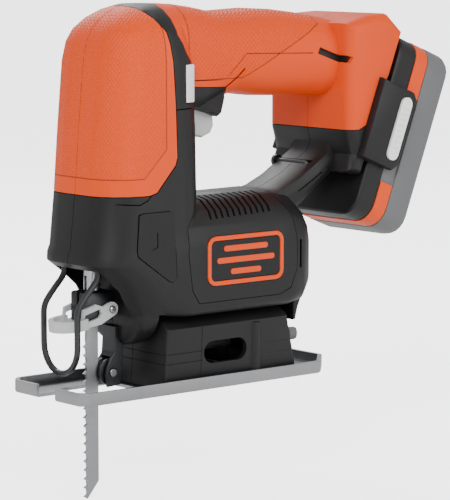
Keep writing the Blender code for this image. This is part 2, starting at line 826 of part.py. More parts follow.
def housing_half():
    """Left clamshell half with openings for everything that passes through it."""
    half = left_only(tool_form("housing", 0.0))
    for region in (column_cover_region, grip_cover_region, motor_cover_region):
        layer = make_object("layer", region_solid(region(GAP)))
        boolean(layer, [tool_form("core", SKIN)], "DIFFERENCE")
        boolean(half, [layer], "DIFFERENCE")
    lumps = [make_object("tool", bm) for bm in (chin_form(), tail_form(), throat_form())]
    lumps.append(ear_form())
    boolean(half, lumps, "UNION")
    boolean(half, [housing_cavity()], "DIFFERENCE")
    openings = [pack_space(), tunnel_form(0.0), pocket_form(), receiver_form()]
    controls = [trigger_slot_form(), lock_bore_form(), release_bore_form()]
    cut(half, openings + controls)
    cut(half, bush_bores() + guard_sockets() + [bracket_socket()])
    cut(half, [prism(pad_outline(GAP), BODY_HALF_WIDTH - 1.3, 60.0)])
    return half


def screw_hole(x, z):
    """Bore through both halves, wide on the right for the head."""
    return [rod("Y", (x, 0, z), SCREW_RADIUS + GAP, -40.0, SCREW_END_Y + 1.0, 16),
            rod("Y", (x, 0, z), SCREW_HEAD_RADIUS + GAP, -60.0, SCREW_HEAD_Y, 20)]


def build_housing():
    left = housing_half()
    right = mirrored(left, "housing_right")
    for x, z in SCREW_POINTS:
        cut(left, screw_hole(x, z))
        cut(right, screw_hole(x, z))
    finish(tidy(left), "housing_left", black_abs())
    finish(tidy(right), "housing_right", black_abs())


def build_covers():
    """Orange column and grip covers and the black motor cover, left and right."""
    for label, region, paint in (("column_cover", column_cover_region, orange_abs()),
                                 ("grip_cover", grip_cover_region, orange_tpe()),
                                 ("motor_cover", motor_cover_region, black_abs())):
        left = cover_half(label, region)
        if label == "motor_cover":
            pocket = badge_ring("pocket", GAP, MOTOR_HALF_WIDTH - BADGE_DEPTH, MOTOR_HALF_WIDTH + 9)
            boolean(left, [pocket], "DIFFERENCE")
        if label == "grip_cover":
            cut(left, [lock_bore_form(), prism(throat_outline(GAP), -20, 12.5 + GAP), receiver_form()])
            cut(left, [prism(ear_outline(GAP), REAR_HALF_WIDTH - 4.0 - GAP, 60.0)])
        right = mirrored(left, label + "_right")
        if label == "grip_cover":
            for x, z in SCREW_POINTS[2:4]:
                cut(right, [rod("Y", (x, 0, z), SCREW_HEAD_RADIUS + GAP, -60.0, SCREW_HEAD_Y, 20)])
        finish(tidy(left), label + "_left", paint)
        finish(tidy(right), label + "_right", paint)


def build_housing_screws():
    for number, (x, z) in enumerate(SCREW_POINTS, 1):
        head = SCREW_HEAD_Y + GAP - 2.0
        profile = [(0, head), (SCREW_HEAD_RADIUS, head), (SCREW_HEAD_RADIUS, head + 1.7),
                   (SCREW_RADIUS, head + 1.7), (SCREW_RADIUS, SCREW_END_Y - 1.5), (0, SCREW_END_Y)]
        screw = make_object("screw", turned("Y", (x, 0, z), profile, 14))
        cut(screw, [rod("Y", (x, 0, z), 1.2, head - 1.0, head + 1.0, 6)])
        finish(tidy(screw), f"housing_screw_{number}", dark_steel())


def build_pads_and_badges():
    for side, label in ((1, "left"), (-1, "right")):
        inner, outer = side * (BODY_HALF_WIDTH - 1.0), side * (BODY_HALF_WIDTH + 0.4)
        part(f"side_pad_{label}", prism(pad_outline(), min(inner, outer), max(inner, outer)), black_abs())
        inner, outer = side * (MOTOR_HALF_WIDTH - BADGE_DEPTH + GAP), side * (MOTOR_HALF_WIDTH + 0.5)
        ring = badge_ring("badge", 0.0, min(inner, outer), max(inner, outer))
        finish(tidy(ring), f"badge_frame_{label}", orange_abs())


# ---------------------------------------------------------------- shoe and base
def slab(outline, z0, z1):
    """Solid of an (x, y) outline between two heights."""
    bm = prism(outline, z0, z1)
    for vert in bm.verts:
        vert.co = (vert.co.x, vert.co.z, vert.co.y)
    bmesh.ops.reverse_faces(bm, faces=bm.faces[:])
    return bm


def shoe_outline(inset):
    front, rear, half = SHOE_FRONT - inset, SHOE_REAR + inset, SHOE_HALF_WIDTH - inset
    return [(front, -half + 4.2), (front, half - 4.2), (front - 4.3, half), (rear + 13.0, half),
            (rear, half - 13.6), (rear, -half + 13.6), (rear + 13.0, -half), (front - 4.3, -half)]


def slot_forms():
    """Blade slot open to the front, with a wider well round the roller."""
    half, well = SHOE_SLOT_HALF_WIDTH, SHOE_WELL_HALF_WIDTH
    front_well = BLADE_BACK + BLADE_WIDTH + 4.0
    return [block(front_well - 4.0, 90.0, -half, half, -5.0, 20.0),
            block(BASE_FRONT + 3.0, front_well, -well, well, -5.0, SHOE_THICKNESS + 3.0)]


SHOE_SCREWS = tuple((x, y) for x in (-47.0, 12.0) for y in (-17.0, 17.0))


def build_shoe():
    tray = make_object("shoe", slab(shoe_outline(0.0), 0.0, SHOE_LIP_HEIGHT))
    bm = bmesh.new()
    bm.from_mesh(tray.data)
    lower = [e for e in bm.edges if all(v.co.z < 0.01 for v in e.verts)]
    upright = [e for e in bm.edges if abs(e.verts[0].co.z - e.verts[1].co.z) > 1]
    bmesh.ops.bevel(bm, geom=lower + upright, offset=1.2, affect="EDGES", segments=2, profile=0.5,
                    material=-1)
    bm.to_mesh(tray.data)
    bm.free()
    cut(tray, [slab(shoe_outline(SHOE_THICKNESS), SHOE_THICKNESS, SHOE_LIP_HEIGHT + 5.0)] + slot_forms())
    for x, y in SHOE_SCREWS:
        profile = [(0, -1.0), (SCREW_HEAD_RADIUS + 1.7, -1.0), (SCREW_RADIUS + GAP, SHOE_THICKNESS),
                   (SCREW_RADIUS + GAP, 5.0), (0, 5.0)]
        cut(tray, [turned("Z", (x, y, 0), profile, 20)])
    finish(tidy(tray), "shoe_plate", bright_steel())


def base_side_outline():
    low, high = SHOE_THICKNESS + GAP, SADDLE_RADIUS + 2.0
    slope_front = 2.0 / BASE_HEIGHT
    slope_rear = 6.0 / BASE_HEIGHT
    return [(BASE_FRONT, low), (BASE_FRONT - slope_front * high, high), (BASE_REAR + slope_rear * high, high),
            (BASE_REAR, low)]


WINDOW_X, WINDOW_Z, WINDOW_HALF_LENGTH, WINDOW_HALF_HEIGHT = -14.8, 16.3, 12.6, 5.1
CLAMP_SHAFT_Z = 15.5
CLAMP_SHAFT_RADIUS = 2.5
CAM_RADIUS = 4.5
CAM_OFFSET = 1.8
BRAKE_GAP = 0.6            # between the brake block and the tunnel when it is let off
SHAFT_WEBS = (-37.0, -12.0)
CAM_REAR, CAM_FRONT = SHAFT_WEBS[0] + 3.0, SHAFT_WEBS[1] - 3.0
BRAKE_HALF_WIDTH = 10.0


def window_outline():
    return rounded_section(WINDOW_X - WINDOW_HALF_LENGTH, WINDOW_X + WINDOW_HALF_LENGTH,
                           WINDOW_Z - WINDOW_HALF_HEIGHT, WINDOW_Z + WINDOW_HALF_HEIGHT,
                           [WINDOW_HALF_HEIGHT] * 4, 5)


def base_half():
    """Left half of the moulded block on the shoe, round on top where the body tilts over it."""
    low = SHOE_THICKNESS + GAP
    half = make_object("base", prism(base_side_outline(), SEAM_GAP, BASE_HALF_WIDTH, 1.6, 2, both=False))
    boolean(half, [make_object("round", rod("X", (0, 0, 0), SADDLE_RADIUS, -90.0, 60.0, 72))], "INTERSECT")
    inner_y = BASE_HALF_WIDTH - BASE_WALL
    inside = block(BASE_REAR + 8.5, BASE_FRONT - 5.6, -5.0, inner_y, low + BASE_WALL, 60.0)
    hollow = make_object("hollow", inside)
    bosses = [make_object("boss", rod("Z", (x, abs(y), 0), 4.0, 0.0, 13.0, 16)) for x, y in SHOE_SCREWS[1::2]]
    web_top = CLAMP_SHAFT_Z + 5.5
    webs = [make_object("web", block(x - 1.2, x + 1.2, -9.0, 40.0, 0.0, web_top)) for x in SHAFT_WEBS]
    roof = make_object("roof", rod("X", (0, 0, 0), SADDLE_RADIUS - BASE_WALL, -90.0, 60.0, 72))
    boolean(hollow, [roof], "INTERSECT")
    boolean(hollow, bosses + webs, "DIFFERENCE")
    boolean(half, [hollow], "DIFFERENCE")
    cut(half, [block(CAM_REAR - GAP, CAM_FRONT + GAP, -5.0, BRAKE_HALF_WIDTH + GAP, 25.0, 60.0)])
    cut(half, [prism(window_outline(), 5.0, 60.0)])
    cut(half, [rod("X", (0, 0, CLAMP_SHAFT_Z), CLAMP_SHAFT_RADIUS + GAP, BASE_REAR - 5, BASE_FRONT - 8, 20)])
    for x, y in SHOE_SCREWS[1::2]:
        cut(half, [rod("Z", (x, abs(y), 0), SCREW_RADIUS + GAP, 0.0, 11.5, 16)])
    return half


def build_base():
    left = tidy(base_half())
    right = mirrored(left, "base_right")
    finish(left, "base_left", black_abs())
    finish(right, "base_right", black_abs())
    for number, (x, y) in enumerate(SHOE_SCREWS, 1):
        profile = [(0, 0.35), (SCREW_HEAD_RADIUS, 0.35), (SCREW_RADIUS, SHOE_THICKNESS), (SCREW_RADIUS, 10.0),
                   (0, 11.0)]
        screw = make_object("screw", turned("Z", (x, y, 0), profile, 16))
        finish(tidy(screw), f"shoe_screw_{number}", steel())


def build_bevel_clamp():
    """Lever with a cam on its shaft, and the block that the cam presses up into the tunnel."""
    z = CLAMP_SHAFT_Z
    arm_x, arm = BASE_REAR - 7.5, 15.4
    lever = make_object("lever", rod("X", (0, 0, z), CLAMP_SHAFT_RADIUS, arm_x + 2.0, CAM_FRONT + 6.0, 20))
    outline = [(-3.6, z - 2.6), (arm - 2.4, z - 0.8), (arm - 0.6, z), (arm, z + 1.4), (arm, z + 3.4),
               (arm - 0.8, z + 4.9), (arm - 2.6, z + 5.2), (-3.6, z + 2.8)]
    plate = loft([[(x, y, h) for y, h in outline] for x in (arm_x + 4.5, arm_x)])
    hub = rod("X", (0, 0, z), 4.6, arm_x - 0.6, arm_x + 6.3, 20)
    cam = rod("X", (0, 0, z + CAM_OFFSET), CAM_RADIUS, CAM_REAR, CAM_FRONT, 28)
    for solid in (cam, hub, plate):
        boolean(lever, [make_object("tool", solid)], "UNION")
    finish(tidy(lever), "bevel_lever", grey_abs(), (0, 0, z))
    low = z + CAM_OFFSET + CAM_RADIUS + GAP
    brake = make_object("brake", block(CAM_REAR, CAM_FRONT, -BRAKE_HALF_WIDTH, BRAKE_HALF_WIDTH, low, 60.0))
    boolean(brake, [make_object("round", rod("X", (0, 0, 0), TUNNEL_RADIUS - BRAKE_GAP, -90.0, 60.0, 72))],
            "INTERSECT")
    finish(tidy(brake), "bevel_brake", bronze())


# ---------------------------------------------------------------- motor and gears
def toothed(axis_z, teeth, pitch_radius, x0, x1, bore):
    """Gear whose shallow teeth stop short of the mating wheel's."""
    tip = pitch_radius - MESH_GAP / 2
    root = tip - TOOTH_DEPTH
    outline = []
    for tooth in range(teeth):
        for share, radius in ((0.05, root), (0.30, tip), (0.62, tip), (0.87, root)):
            angle = math.tau * (tooth + share) / teeth
            outline.append((radius * math.cos(angle), axis_z + radius * math.sin(angle)))
    gear = make_object("gear", loft([[(x, y, z) for y, z in outline] for x in (x0, x1)]))
    return cut(gear, [rod("X", (0, 0, axis_z), bore, x0 - 5, x1 + 5, 20)])


def build_motor():
    z = MOTOR_AXIS_Z
    rear = MOTOR_FRONT - MOTOR_LENGTH
    can = make_object("can", tube("X", (0, 0, z), MOTOR_RADIUS - MOTOR_CAN_WALL, MOTOR_RADIUS, rear,
                                  MOTOR_FRONT - 3.0, 36))
    finish(tidy(can), "motor_can", steel())
    for label, low, high in (("front", MOTOR_FRONT - 3.0 + GAP, MOTOR_FRONT + 0.5),
                             ("rear", rear - 3.5, rear - GAP)):
        bell = tube("X", (0, 0, z), SHAFT_RADIUS + GAP, MOTOR_RADIUS - 0.6, low, high, 30)
        part(f"motor_bell_{label}", bell, steel() if label == "front" else black_abs())
    centre = (0, 0, z)
    core = rod("X", centre, MOTOR_RADIUS - MOTOR_CAN_WALL - 2.2, rear + 14.0, MOTOR_FRONT - 9.0, 30)
    core = make_object("core", core)
    boolean(core, [make_object("c", rod("X", centre, 7.0, rear + 3.0, rear + 11.0, 20)),
                   make_object("s", rod("X", centre, SHAFT_RADIUS, rear - 11.5, GEAR_FRONT + 1.5, 14))],
            "UNION")
    finish(tidy(core), "motor_armature", copper(), centre)
    fan = make_object("fan", rod("X", centre, 5.0, rear - 10.5, rear - 5.0, 18))
    for blade in range(7):
        vane = block(rear - 10.5, rear - 5.5, -0.8, 0.8, 3.0, 15.0)
        bmesh.ops.transform(vane, matrix=Matrix.Rotation(math.tau * blade / 7, 4, "X"), verts=vane.verts)
        bmesh.ops.translate(vane, verts=vane.verts, vec=centre)
        boolean(fan, [make_object("vane", vane)], "UNION")
    cut(fan, [rod("X", centre, SHAFT_RADIUS + GAP, rear - 20, rear, 14)])
    finish(tidy(fan), "motor_fan", black_abs(), centre)
    pinion = toothed(z, PINION_TEETH, PINION_PITCH_RADIUS, GEAR_REAR, GEAR_FRONT, SHAFT_RADIUS + 0.2)
    finish(tidy(pinion), "motor_pinion", bronze(), centre)


def build_gears():
    centre = (0, 0, GEAR_AXIS_Z)
    gear = toothed(GEAR_AXIS_Z, GEAR_TEETH, GEAR_PITCH_RADIUS, GEAR_REAR, GEAR_FRONT, 3.0 + GAP)
    crank_hole = rod("X", (0, CRANK_RADIUS, GEAR_AXIS_Z), 2.2, GEAR_REAR - 5, GEAR_FRONT + 5, 18)
    cut(gear, [crank_hole])
    finish(tidy(gear), "crank_gear", steel(), centre)
    pin = rod("X", (0, CRANK_RADIUS, GEAR_AXIS_Z), 2.0, GEAR_REAR + 0.5, GEAR_FRONT + 7.2, 18, 0.3)
    part("crank_pin", pin, bright_steel(), centre)
    roller = tube("X", (0, CRANK_RADIUS, GEAR_AXIS_Z), 2.0 + 0.2, CRANK_ROLLER_RADIUS, GEAR_FRONT + 1.2,
                  GEAR_FRONT + 6.4, 24)
    part("crank_roller", roller, bright_steel(), centre)
    plate_x0, plate_x1 = GEAR_REAR - 7.0, GEAR_REAR - 3.0
    plate = make_object("plate", block(plate_x0, plate_x1, -19.0, 19.0, 51.0, 104.0, 3.0, 2))
    cut(plate, [rod("X", (0, 0, MOTOR_AXIS_Z), 5.5, plate_x0 - 5, plate_x1 + 5, 24),
                rod("X", centre, 3.0 - 0.3, plate_x0 - 5, plate_x1 + 5, 20)])
    finish(tidy(plate), "gear_frame", steel())
    axle = [(0, plate_x0 - 1.0), (2.4, plate_x0 - 1.0), (2.4, plate_x1 + 0.3), (3.0, plate_x1 + 0.3),
            (3.0, GEAR_FRONT + 0.2), (0, GEAR_FRONT + 0.2)]
    part("gear_axle", turned("X", centre, axle, 20), bright_steel())


def build_plunger():
    """Rod with the slotted yoke that the crank pin moves up and down."""
    z = GEAR_AXIS_Z
    plunger = make_object("rod", rod("Z", (ROD_X, 0, 0), ROD_RADIUS, CLAMP_TOP + 0.3, z + 8.0, 24))
    upper = rod("Z", (ROD_X, 0, 0), UPPER_ROD_RADIUS, z + 6.0, UPPER_BUSH_TOP + CRANK_RADIUS + 0.5, 20)
    yoke_x0, yoke_x1 = GEAR_FRONT + 1.2, GEAR_FRONT + 6.2
    slot_high = CRANK_ROLLER_RADIUS + YOKE_LOST_MOTION
    slot_wide = CRANK_RADIUS + CRANK_ROLLER_RADIUS + 0.4
    yoke = block(yoke_x0, yoke_x1, -slot_wide - 3, slot_wide + 3, z - slot_high - 3, z + slot_high + 3, 1.0)
    bridge = block(yoke_x1 - 1.0, ROD_X, -3.0, 3.0, z - slot_high - 3, z - slot_high - 0.2)
    bridge_2 = block(yoke_x1 - 1.0, ROD_X, -3.0, 3.0, z + slot_high + 0.2, z + slot_high + 3)
    boolean(plunger, [make_object("t", bm) for bm in (upper, yoke, bridge, bridge_2)], "UNION")
    cut(plunger, [block(yoke_x0 - 5, yoke_x1 + 1.5, -slot_wide, slot_wide, z - slot_high, z + slot_high)])
    half = BLADE_THICKNESS / 2 + GAP
    cut(plunger, [block(ROD_X - 9, ROD_X + 9, -half, half, CLAMP_TOP - 5, BLADE_TIP + BLADE_LENGTH + 1.0)])
    finish(tidy(plunger), "plunger_rod", bright_steel())
    bushes = (("lower", ROD_RADIUS, POCKET_TOP + 0.2, POCKET_TOP + 5.5),
              ("upper", UPPER_ROD_RADIUS, UPPER_BUSH_BOTTOM, UPPER_BUSH_TOP))
    for label, radius, low, high in bushes:
        bush = tube("Z", (ROD_X, 0, 0), radius + 0.25, BUSH_RADIUS, low, high, 28)
        part(f"plunger_bush_{label}", bush, bronze())


# ---------------------------------------------------------------- blade, clamp and support
def blade_outline():
    """Side outline of the blade: shank with its lugs, straight back, teeth in front, slanted tip."""
    back, front = BLADE_BACK, BLADE_BACK + BLADE_WIDTH
    top = BLADE_TIP + BLADE_LENGTH
    points = [(back + 1.2, top), (back + 1.2, 45.0), (back - 1.5, 44.5), (back - 1.5, 41.5),
              (back + 0.6, 41.0), (back + 0.6, 31.5), (back, 30.5), (back, BLADE_TIP + 7.5),
              (front - TOOTH_HEIGHT, BLADE_TIP)]
    count = int(TOOTHED_LENGTH / TOOTH_PITCH)
    for tooth in range(count):
        z = BLADE_TIP + 0.6 + TOOTH_PITCH * tooth
        points.append((front, z + 0.4))
        points.append((front - TOOTH_HEIGHT, z + 1.6))
        points.append((front - TOOTH_HEIGHT + 0.3, z + TOOTH_PITCH - 0.3))
    points += [(front - TOOTH_HEIGHT, 30.5), (front - 0.6, 31.5), (front - 0.6, 41.0), (front + 1.5, 41.5),
               (front + 1.5, 44.5), (front - 2.6, 45.0), (front - 2.6, top)]
    return points


def build_blade():
    half = BLADE_THICKNESS / 2
    part("saw_blade", prism(blade_outline(), -half, half), bright_steel())


def build_clamp():
    """Clamp block on the rod with its lever, lever pin and cam roller."""
    half = CLAMP_HALF_WIDTH
    rear, front = LEVER_PIN_X - 2.6, BLADE_BACK + BLADE_WIDTH + 2.6
    clamp = make_object("clamp", block(rear, front, -half, half, CLAMP_BOTTOM, CLAMP_TOP, 1.2, 2))
    slot = BLADE_THICKNESS / 2 + GAP
    cut(clamp, [block(BLADE_BACK - 2.0, front + 5, -slot, slot, CLAMP_BOTTOM - 5, CLAMP_TOP + 5),
                rod("Y", (LEVER_PIN_X, 0, LEVER_PIN_Z), LEVER_PIN_RADIUS + 0.2, -20, 20, 18)]
        )
    finish(tidy(clamp), "blade_clamp", dark_steel())
    reach = half + GAP + LEVER_PLATE + 1.2
    part("lever_pin", rod("Y", (LEVER_PIN_X, 0, LEVER_PIN_Z), LEVER_PIN_RADIUS, -reach, reach, 18, 0.3),
         bright_steel())


def lever_plate_outline():
    """Side plate of the release lever, round the hinge pin at its rear end."""
    points = []
    for step in range(7):
        angle = math.radians(60 + 170 * step / 6)
        points.append((LEVER_PIN_X + 3.3 * math.cos(angle), LEVER_PIN_Z + 3.3 * math.sin(angle)))
    return [(54.1, 32.6), (53.2, 39.2), (46.5, 41.2), (42.6, 39.8)] + points + [(43.6, 32.0), (52.0, 30.9)]


def build_release_lever():
    """White finger loop on two steel side plates that straddle the clamp."""
    inner = CLAMP_HALF_WIDTH + GAP
    outer = inner + LEVER_PLATE
    loop_x, loop_out, loop_in = 55.2, 9.6, 7.4
    loop = make_object("loop", tube("Z", (loop_x, 0, 0), loop_in, loop_out, 30.8, 35.6, 40))
    cut(loop, [block(30.0, 51.4, -20.0, 20.0, 20.0, 50.0)])
    bm = bmesh.new()
    bm.from_mesh(loop.data)
    tilt = Matrix.Rotation(math.radians(6), 3, "Y")
    bmesh.ops.rotate(bm, verts=bm.verts, cent=(50.0, 0, 34.0), matrix=tilt)
    bm.to_mesh(loop.data)
    bm.free()
    plates = []
    for side in (-1, 1):
        y0, y1 = sorted((side * inner, side * outer))
        plate = make_object("plate", prism(lever_plate_outline(), y0, y1))
        cut(plate, [rod("Y", (LEVER_PIN_X, 0, LEVER_PIN_Z), LEVER_PIN_RADIUS + 0.2, -20, 20, 18)])
        slot = [(44.2, 39.0), (43.2, 36.6), (44.6, 35.0), (51.4, 33.4), (53.0, 34.6), (52.4, 36.8)]
        cut(plate, [prism(slot, -20, 20)])
        plates.append(plate)
    boolean(loop, plates, "UNION")
    finish(tidy(loop), "release_lever", pale_abs(), (LEVER_PIN_X, 0, LEVER_PIN_Z))


def build_roller():
    """Grooved roller behind the blade, its pin and its bracket."""
    x, z = ROLLER_X, ROLLER_HEIGHT
    half = ROLLER_WIDTH / 2
    groove = BLADE_THICKNESS / 2 + GAP
    profile = [(0, -half), (ROLLER_RADIUS, -half), (ROLLER_RADIUS, -groove - 0.3),
               (ROLLER_RADIUS - ROLLER_GROOVE_DEPTH, -groove), (ROLLER_RADIUS - ROLLER_GROOVE_DEPTH, groove),
               (ROLLER_RADIUS, groove + 0.3), (ROLLER_RADIUS, half), (0, half)]
    roller = make_object("roller", turned("Y", (x, 0, z), profile, 28))
    cut(roller, [rod("Y", (x, 0, z), ROLLER_PIN_RADIUS + 0.25, -20, 20, 18)])
    finish(tidy(roller), "support_roller", dark_steel(), (x, 0, z))
    cheek = half + GAP
    outer = BRACKET_HALF_WIDTH
    part("roller_pin", rod("Y", (x, 0, z), ROLLER_PIN_RADIUS, -outer - 0.6, outer + 0.6, 18, 0.3), steel())
    top = CHIN_SOCKET_TOP - GAP
    outline = [(x + 4.1, z - 1.0), (x + 3.3, z + 2.6), (x + 1.4, z + 6.0), (x - 1.0, z + 9.0),
               (x - 1.0, top), (BRACKET_REAR, top), (BRACKET_REAR, z + 4.0),
               (BRACKET_REAR + 1.5, z - 6.0), (x + 3.0, z - 6.5)]
    bracket = make_object("bracket", prism(outline, -outer, outer))
    cut(bracket, [block(x - ROLLER_RADIUS - 0.8, x + 20, -cheek, cheek, -5, z + ROLLER_RADIUS + 0.8),
                  rod("Y", (x, 0, z), ROLLER_PIN_RADIUS + 0.2, -20, 20, 18)])
    finish(tidy(bracket), "roller_bracket", dark_steel())


def build_guard_wire():
    """Bent wire in front of the blade; both ends enter the body."""
    w, x = GUARD_HALF_WIDTH, GUARD_X
    arc_z = 10.9 + w
    side = [(48.8, w, 61.4), (48.8, w, 55.2), (50.0, w, 51.9), (54.0, w, 47.6), (58.2, w, 42.8),
            (60.0, w, 39.2), (x, w, 35.0), (x, w, arc_z)]
    left = smooth_path(side, 3)
    arc = [(x, w * math.cos(math.radians(a)), arc_z - w * math.sin(math.radians(a)))
           for a in range(15, 180, 15)]
    right = [Vector((p.x, -p.y, p.z)) for p in reversed(left)]
    part("guard_wire", bent_bar(list(left) + arc + right, GUARD_WIRE_RADIUS, 8), dark_steel())


# ---------------------------------------------------------------- controls
def build_controls():
    half = TRIGGER_HALF_WIDTH
    outline = [(4.5, 114.5), (4.5, 128.4), (-12.0, 128.4), (-19.0, 126.0), (-22.8, 121.6), (-23.2, 117.0),
               (-21.4, 113.6), (-16.6, 111.8), (-9.5, 113.2)]
    part("trigger", prism(outline, -half, half, 1.8, 2), pale_abs(), (0, 0, 119.0))
    outline = [(LOCK_REAR, -18.8), (LOCK_FRONT, -23.2), (LOCK_FRONT, 26.4), (LOCK_REAR + 2.0, 24.2),
               (LOCK_REAR, 21.8)]
    part("lock_off_button", slab(outline, LOCK_BOTTOM, LOCK_TOP), white_abs())
    part("switch_module", block(-31.0, -15.0, -8.0, 8.0, 137.0, 154.0, 1.0), black_abs())
    for side, label in ((1, "left"), (-1, "right")):
        inner = side * (PACK_HALF_WIDTH - 0.5 + RELEASE_TRAVEL + GAP)
        outer = side * (REAR_HALF_WIDTH + 5.1)
        y0, y1 = sorted((inner, outer))
        button = prism(capsule(RELEASE_LOW, RELEASE_HIGH, RELEASE_MIDDLE, RELEASE_HALF), y0, y1)
        part(f"release_button_{label}", button, white_abs())


# ---------------------------------------------------------------- battery
def pack_ring(inset, n, corner=PACK_CORNER, u0=PACK_BOTTOM, u1=PACK_TOP, half=PACK_HALF_WIDTH, steps=5):
    """Rounded outline across the battery at one depth."""
    outline = rounded_section(inset - half, half - inset, u0 + inset, u1 - inset, [corner - inset] * 4, steps)
    ring = []
    for y, u in outline:
        x, z = pack_point(u, n)
        ring.append((x, y, z))
    return ring


TRIM_INSET = 1.2
TRIM_REAR = COLLAR_REAR + 8.5


def build_pack_shell():
    front = COLLAR_REAR + GAP
    rings = [pack_ring(TRIM_INSET, front), pack_ring(TRIM_INSET, TRIM_REAR), pack_ring(0.0, TRIM_REAR + 0.1),
             pack_ring(0.0, PACK_REAR - 4.0), pack_ring(1.2, PACK_REAR - 1.2), pack_ring(4.0, PACK_REAR)]
    shell = make_object("shell", loft(rings))
    inside = TRIM_INSET + PACK_WALL
    cut(shell, [loft([pack_ring(inside, front - 5), pack_ring(inside, PACK_REAR - PACK_WALL - 0.4)])])
    finish(tidy(shell), "battery_shell", grey_abs())


def build_pack_collar():
    """Front of the battery: flange against the tool and tower that enters it."""
    front, rear = PACK_MOUTH + GAP, COLLAR_REAR
    outside = loft([pack_ring(1.5, front), pack_ring(0.5, front + 1.0), pack_ring(0.5, rear)])
    collar = make_object("collar", outside)
    low, high = TOWER_BOTTOM, TOWER_TOP
    tower = loft([pack_ring(0, PACK_MOUTH - TOWER_DEPTH, 4.0, low, high, TOWER_HALF_WIDTH, 3),
                  pack_ring(0, front + 1.5, 4.0, low, high, TOWER_HALF_WIDTH, 3)])
    boolean(collar, [make_object("tower", tower)], "UNION")
    inside = TRIM_INSET + PACK_WALL
    cut(collar, [loft([pack_ring(inside, front + 2.5), pack_ring(inside, rear + 5)])])
    finish(tidy(collar), "battery_collar", black_abs())


def build_pack_trims():
    """Coloured bands that wrap over the top and under the bottom of the battery."""
    ends = (("top", PACK_TOP - 27.0, PACK_TOP + 20), ("bottom", PACK_BOTTOM - 20, PACK_BOTTOM + 21.0))
    for label, low, high in ends:
        front, rear = COLLAR_REAR + GAP, TRIM_REAR - GAP
        band = make_object("band", loft([pack_ring(0.2, front), pack_ring(0.2, rear)]))
        cut(band, [loft([pack_ring(TRIM_INSET - GAP, front - 5), pack_ring(TRIM_INSET - GAP, rear + 5)])])
        outline = [pack_point(low, front - 9), pack_point(high, front - 9), pack_point(high, rear + 9),
                   pack_point(low, rear + 9)]
        boolean(band, [make_object("keep", prism(outline, -60, 60))], "INTERSECT")
        finish(tidy(band), f"battery_trim_{label}", orange_abs())


def build_cells():
    middle = (PACK_BOTTOM + PACK_TOP) / 2
    low, high = middle - CELL_LENGTH / 2, middle + CELL_LENGTH / 2
    spread = 2 * CELL_RADIUS - 0.6
    for number, (y, n) in enumerate(((-spread, 78.0), (0.0, 72.3), (spread, 78.0)), 1):
        rings = []
        for u in (low, high):
            ring = []
            for i in range(24):
                angle = math.tau * i / 24
                x, z = pack_point(u, n + CELL_RADIUS * math.sin(angle))
                ring.append((x, y + CELL_RADIUS * math.cos(angle), z))
            rings.append(ring)
        part(f"battery_cell_{number}", loft(rings), cell_wrap())


def main():
    for old in list(bpy.data.objects):
        bpy.data.objects.remove(old)
    build_housing()
    build_covers()
    build_housing_screws()
    build_pads_and_badges()
    build_shoe()
    build_base()
    build_bevel_clamp()
    build_motor()
    build_gears()
    build_plunger()
    build_blade()
    build_clamp()
    build_release_lever()
    build_roller()
    build_guard_wire()
    build_controls()
    build_pack_shell()
    build_pack_collar()
    build_pack_trims()
    build_cells()


main()
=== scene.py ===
# %% [markdown]
# # A cordless jigsaw
# The working model is already built and gives every part its place. This lesson gives the parts
# their final shapes and finishes. It starts by loading the model as a fixed frame.

# %% Load the frame
import json
import math

import bmesh
import bpy
from mathutils import Matrix, Vector


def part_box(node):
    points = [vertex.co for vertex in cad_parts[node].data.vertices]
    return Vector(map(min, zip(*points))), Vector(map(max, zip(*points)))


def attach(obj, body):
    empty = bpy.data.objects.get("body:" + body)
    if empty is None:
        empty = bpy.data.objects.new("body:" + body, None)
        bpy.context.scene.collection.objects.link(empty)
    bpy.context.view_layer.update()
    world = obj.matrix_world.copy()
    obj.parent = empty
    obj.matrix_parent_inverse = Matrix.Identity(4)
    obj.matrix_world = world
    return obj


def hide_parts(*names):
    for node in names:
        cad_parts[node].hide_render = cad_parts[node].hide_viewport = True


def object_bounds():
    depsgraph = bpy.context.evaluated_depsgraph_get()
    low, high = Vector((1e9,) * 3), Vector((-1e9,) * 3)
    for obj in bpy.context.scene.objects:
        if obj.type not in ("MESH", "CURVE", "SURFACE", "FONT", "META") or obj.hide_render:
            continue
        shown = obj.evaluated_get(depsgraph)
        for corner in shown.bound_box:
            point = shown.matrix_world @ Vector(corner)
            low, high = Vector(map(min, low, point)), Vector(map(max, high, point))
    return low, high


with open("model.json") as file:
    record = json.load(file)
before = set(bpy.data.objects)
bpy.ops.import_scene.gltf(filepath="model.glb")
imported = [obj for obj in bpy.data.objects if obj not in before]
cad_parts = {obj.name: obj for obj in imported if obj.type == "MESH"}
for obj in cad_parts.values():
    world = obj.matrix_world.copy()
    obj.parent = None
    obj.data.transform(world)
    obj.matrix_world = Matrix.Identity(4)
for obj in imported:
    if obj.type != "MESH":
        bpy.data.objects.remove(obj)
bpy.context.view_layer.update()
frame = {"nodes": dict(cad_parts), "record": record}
MM = 0.001

# %% [markdown]
# ## Colours and nodes
# Paint and plastic colours are named the way a designer picks them, as hex values. Blender wants
# linear light, so one function turns one into the other. A second small function adds a shader
# node with its settings and links, so that each material below reads as a short list.


# %% Colour and node helpers
def linear(hex_colour):
    """Linear RGBA of an sRGB colour such as "E8641E"."""
    channels = [int(hex_colour[i:i + 2], 16) / 255 for i in (0, 2, 4)]
    return [c / 12.92 if c <= 0.04045 else ((c + 0.055) / 1.055) ** 2.4 for c in channels] + [1.0]


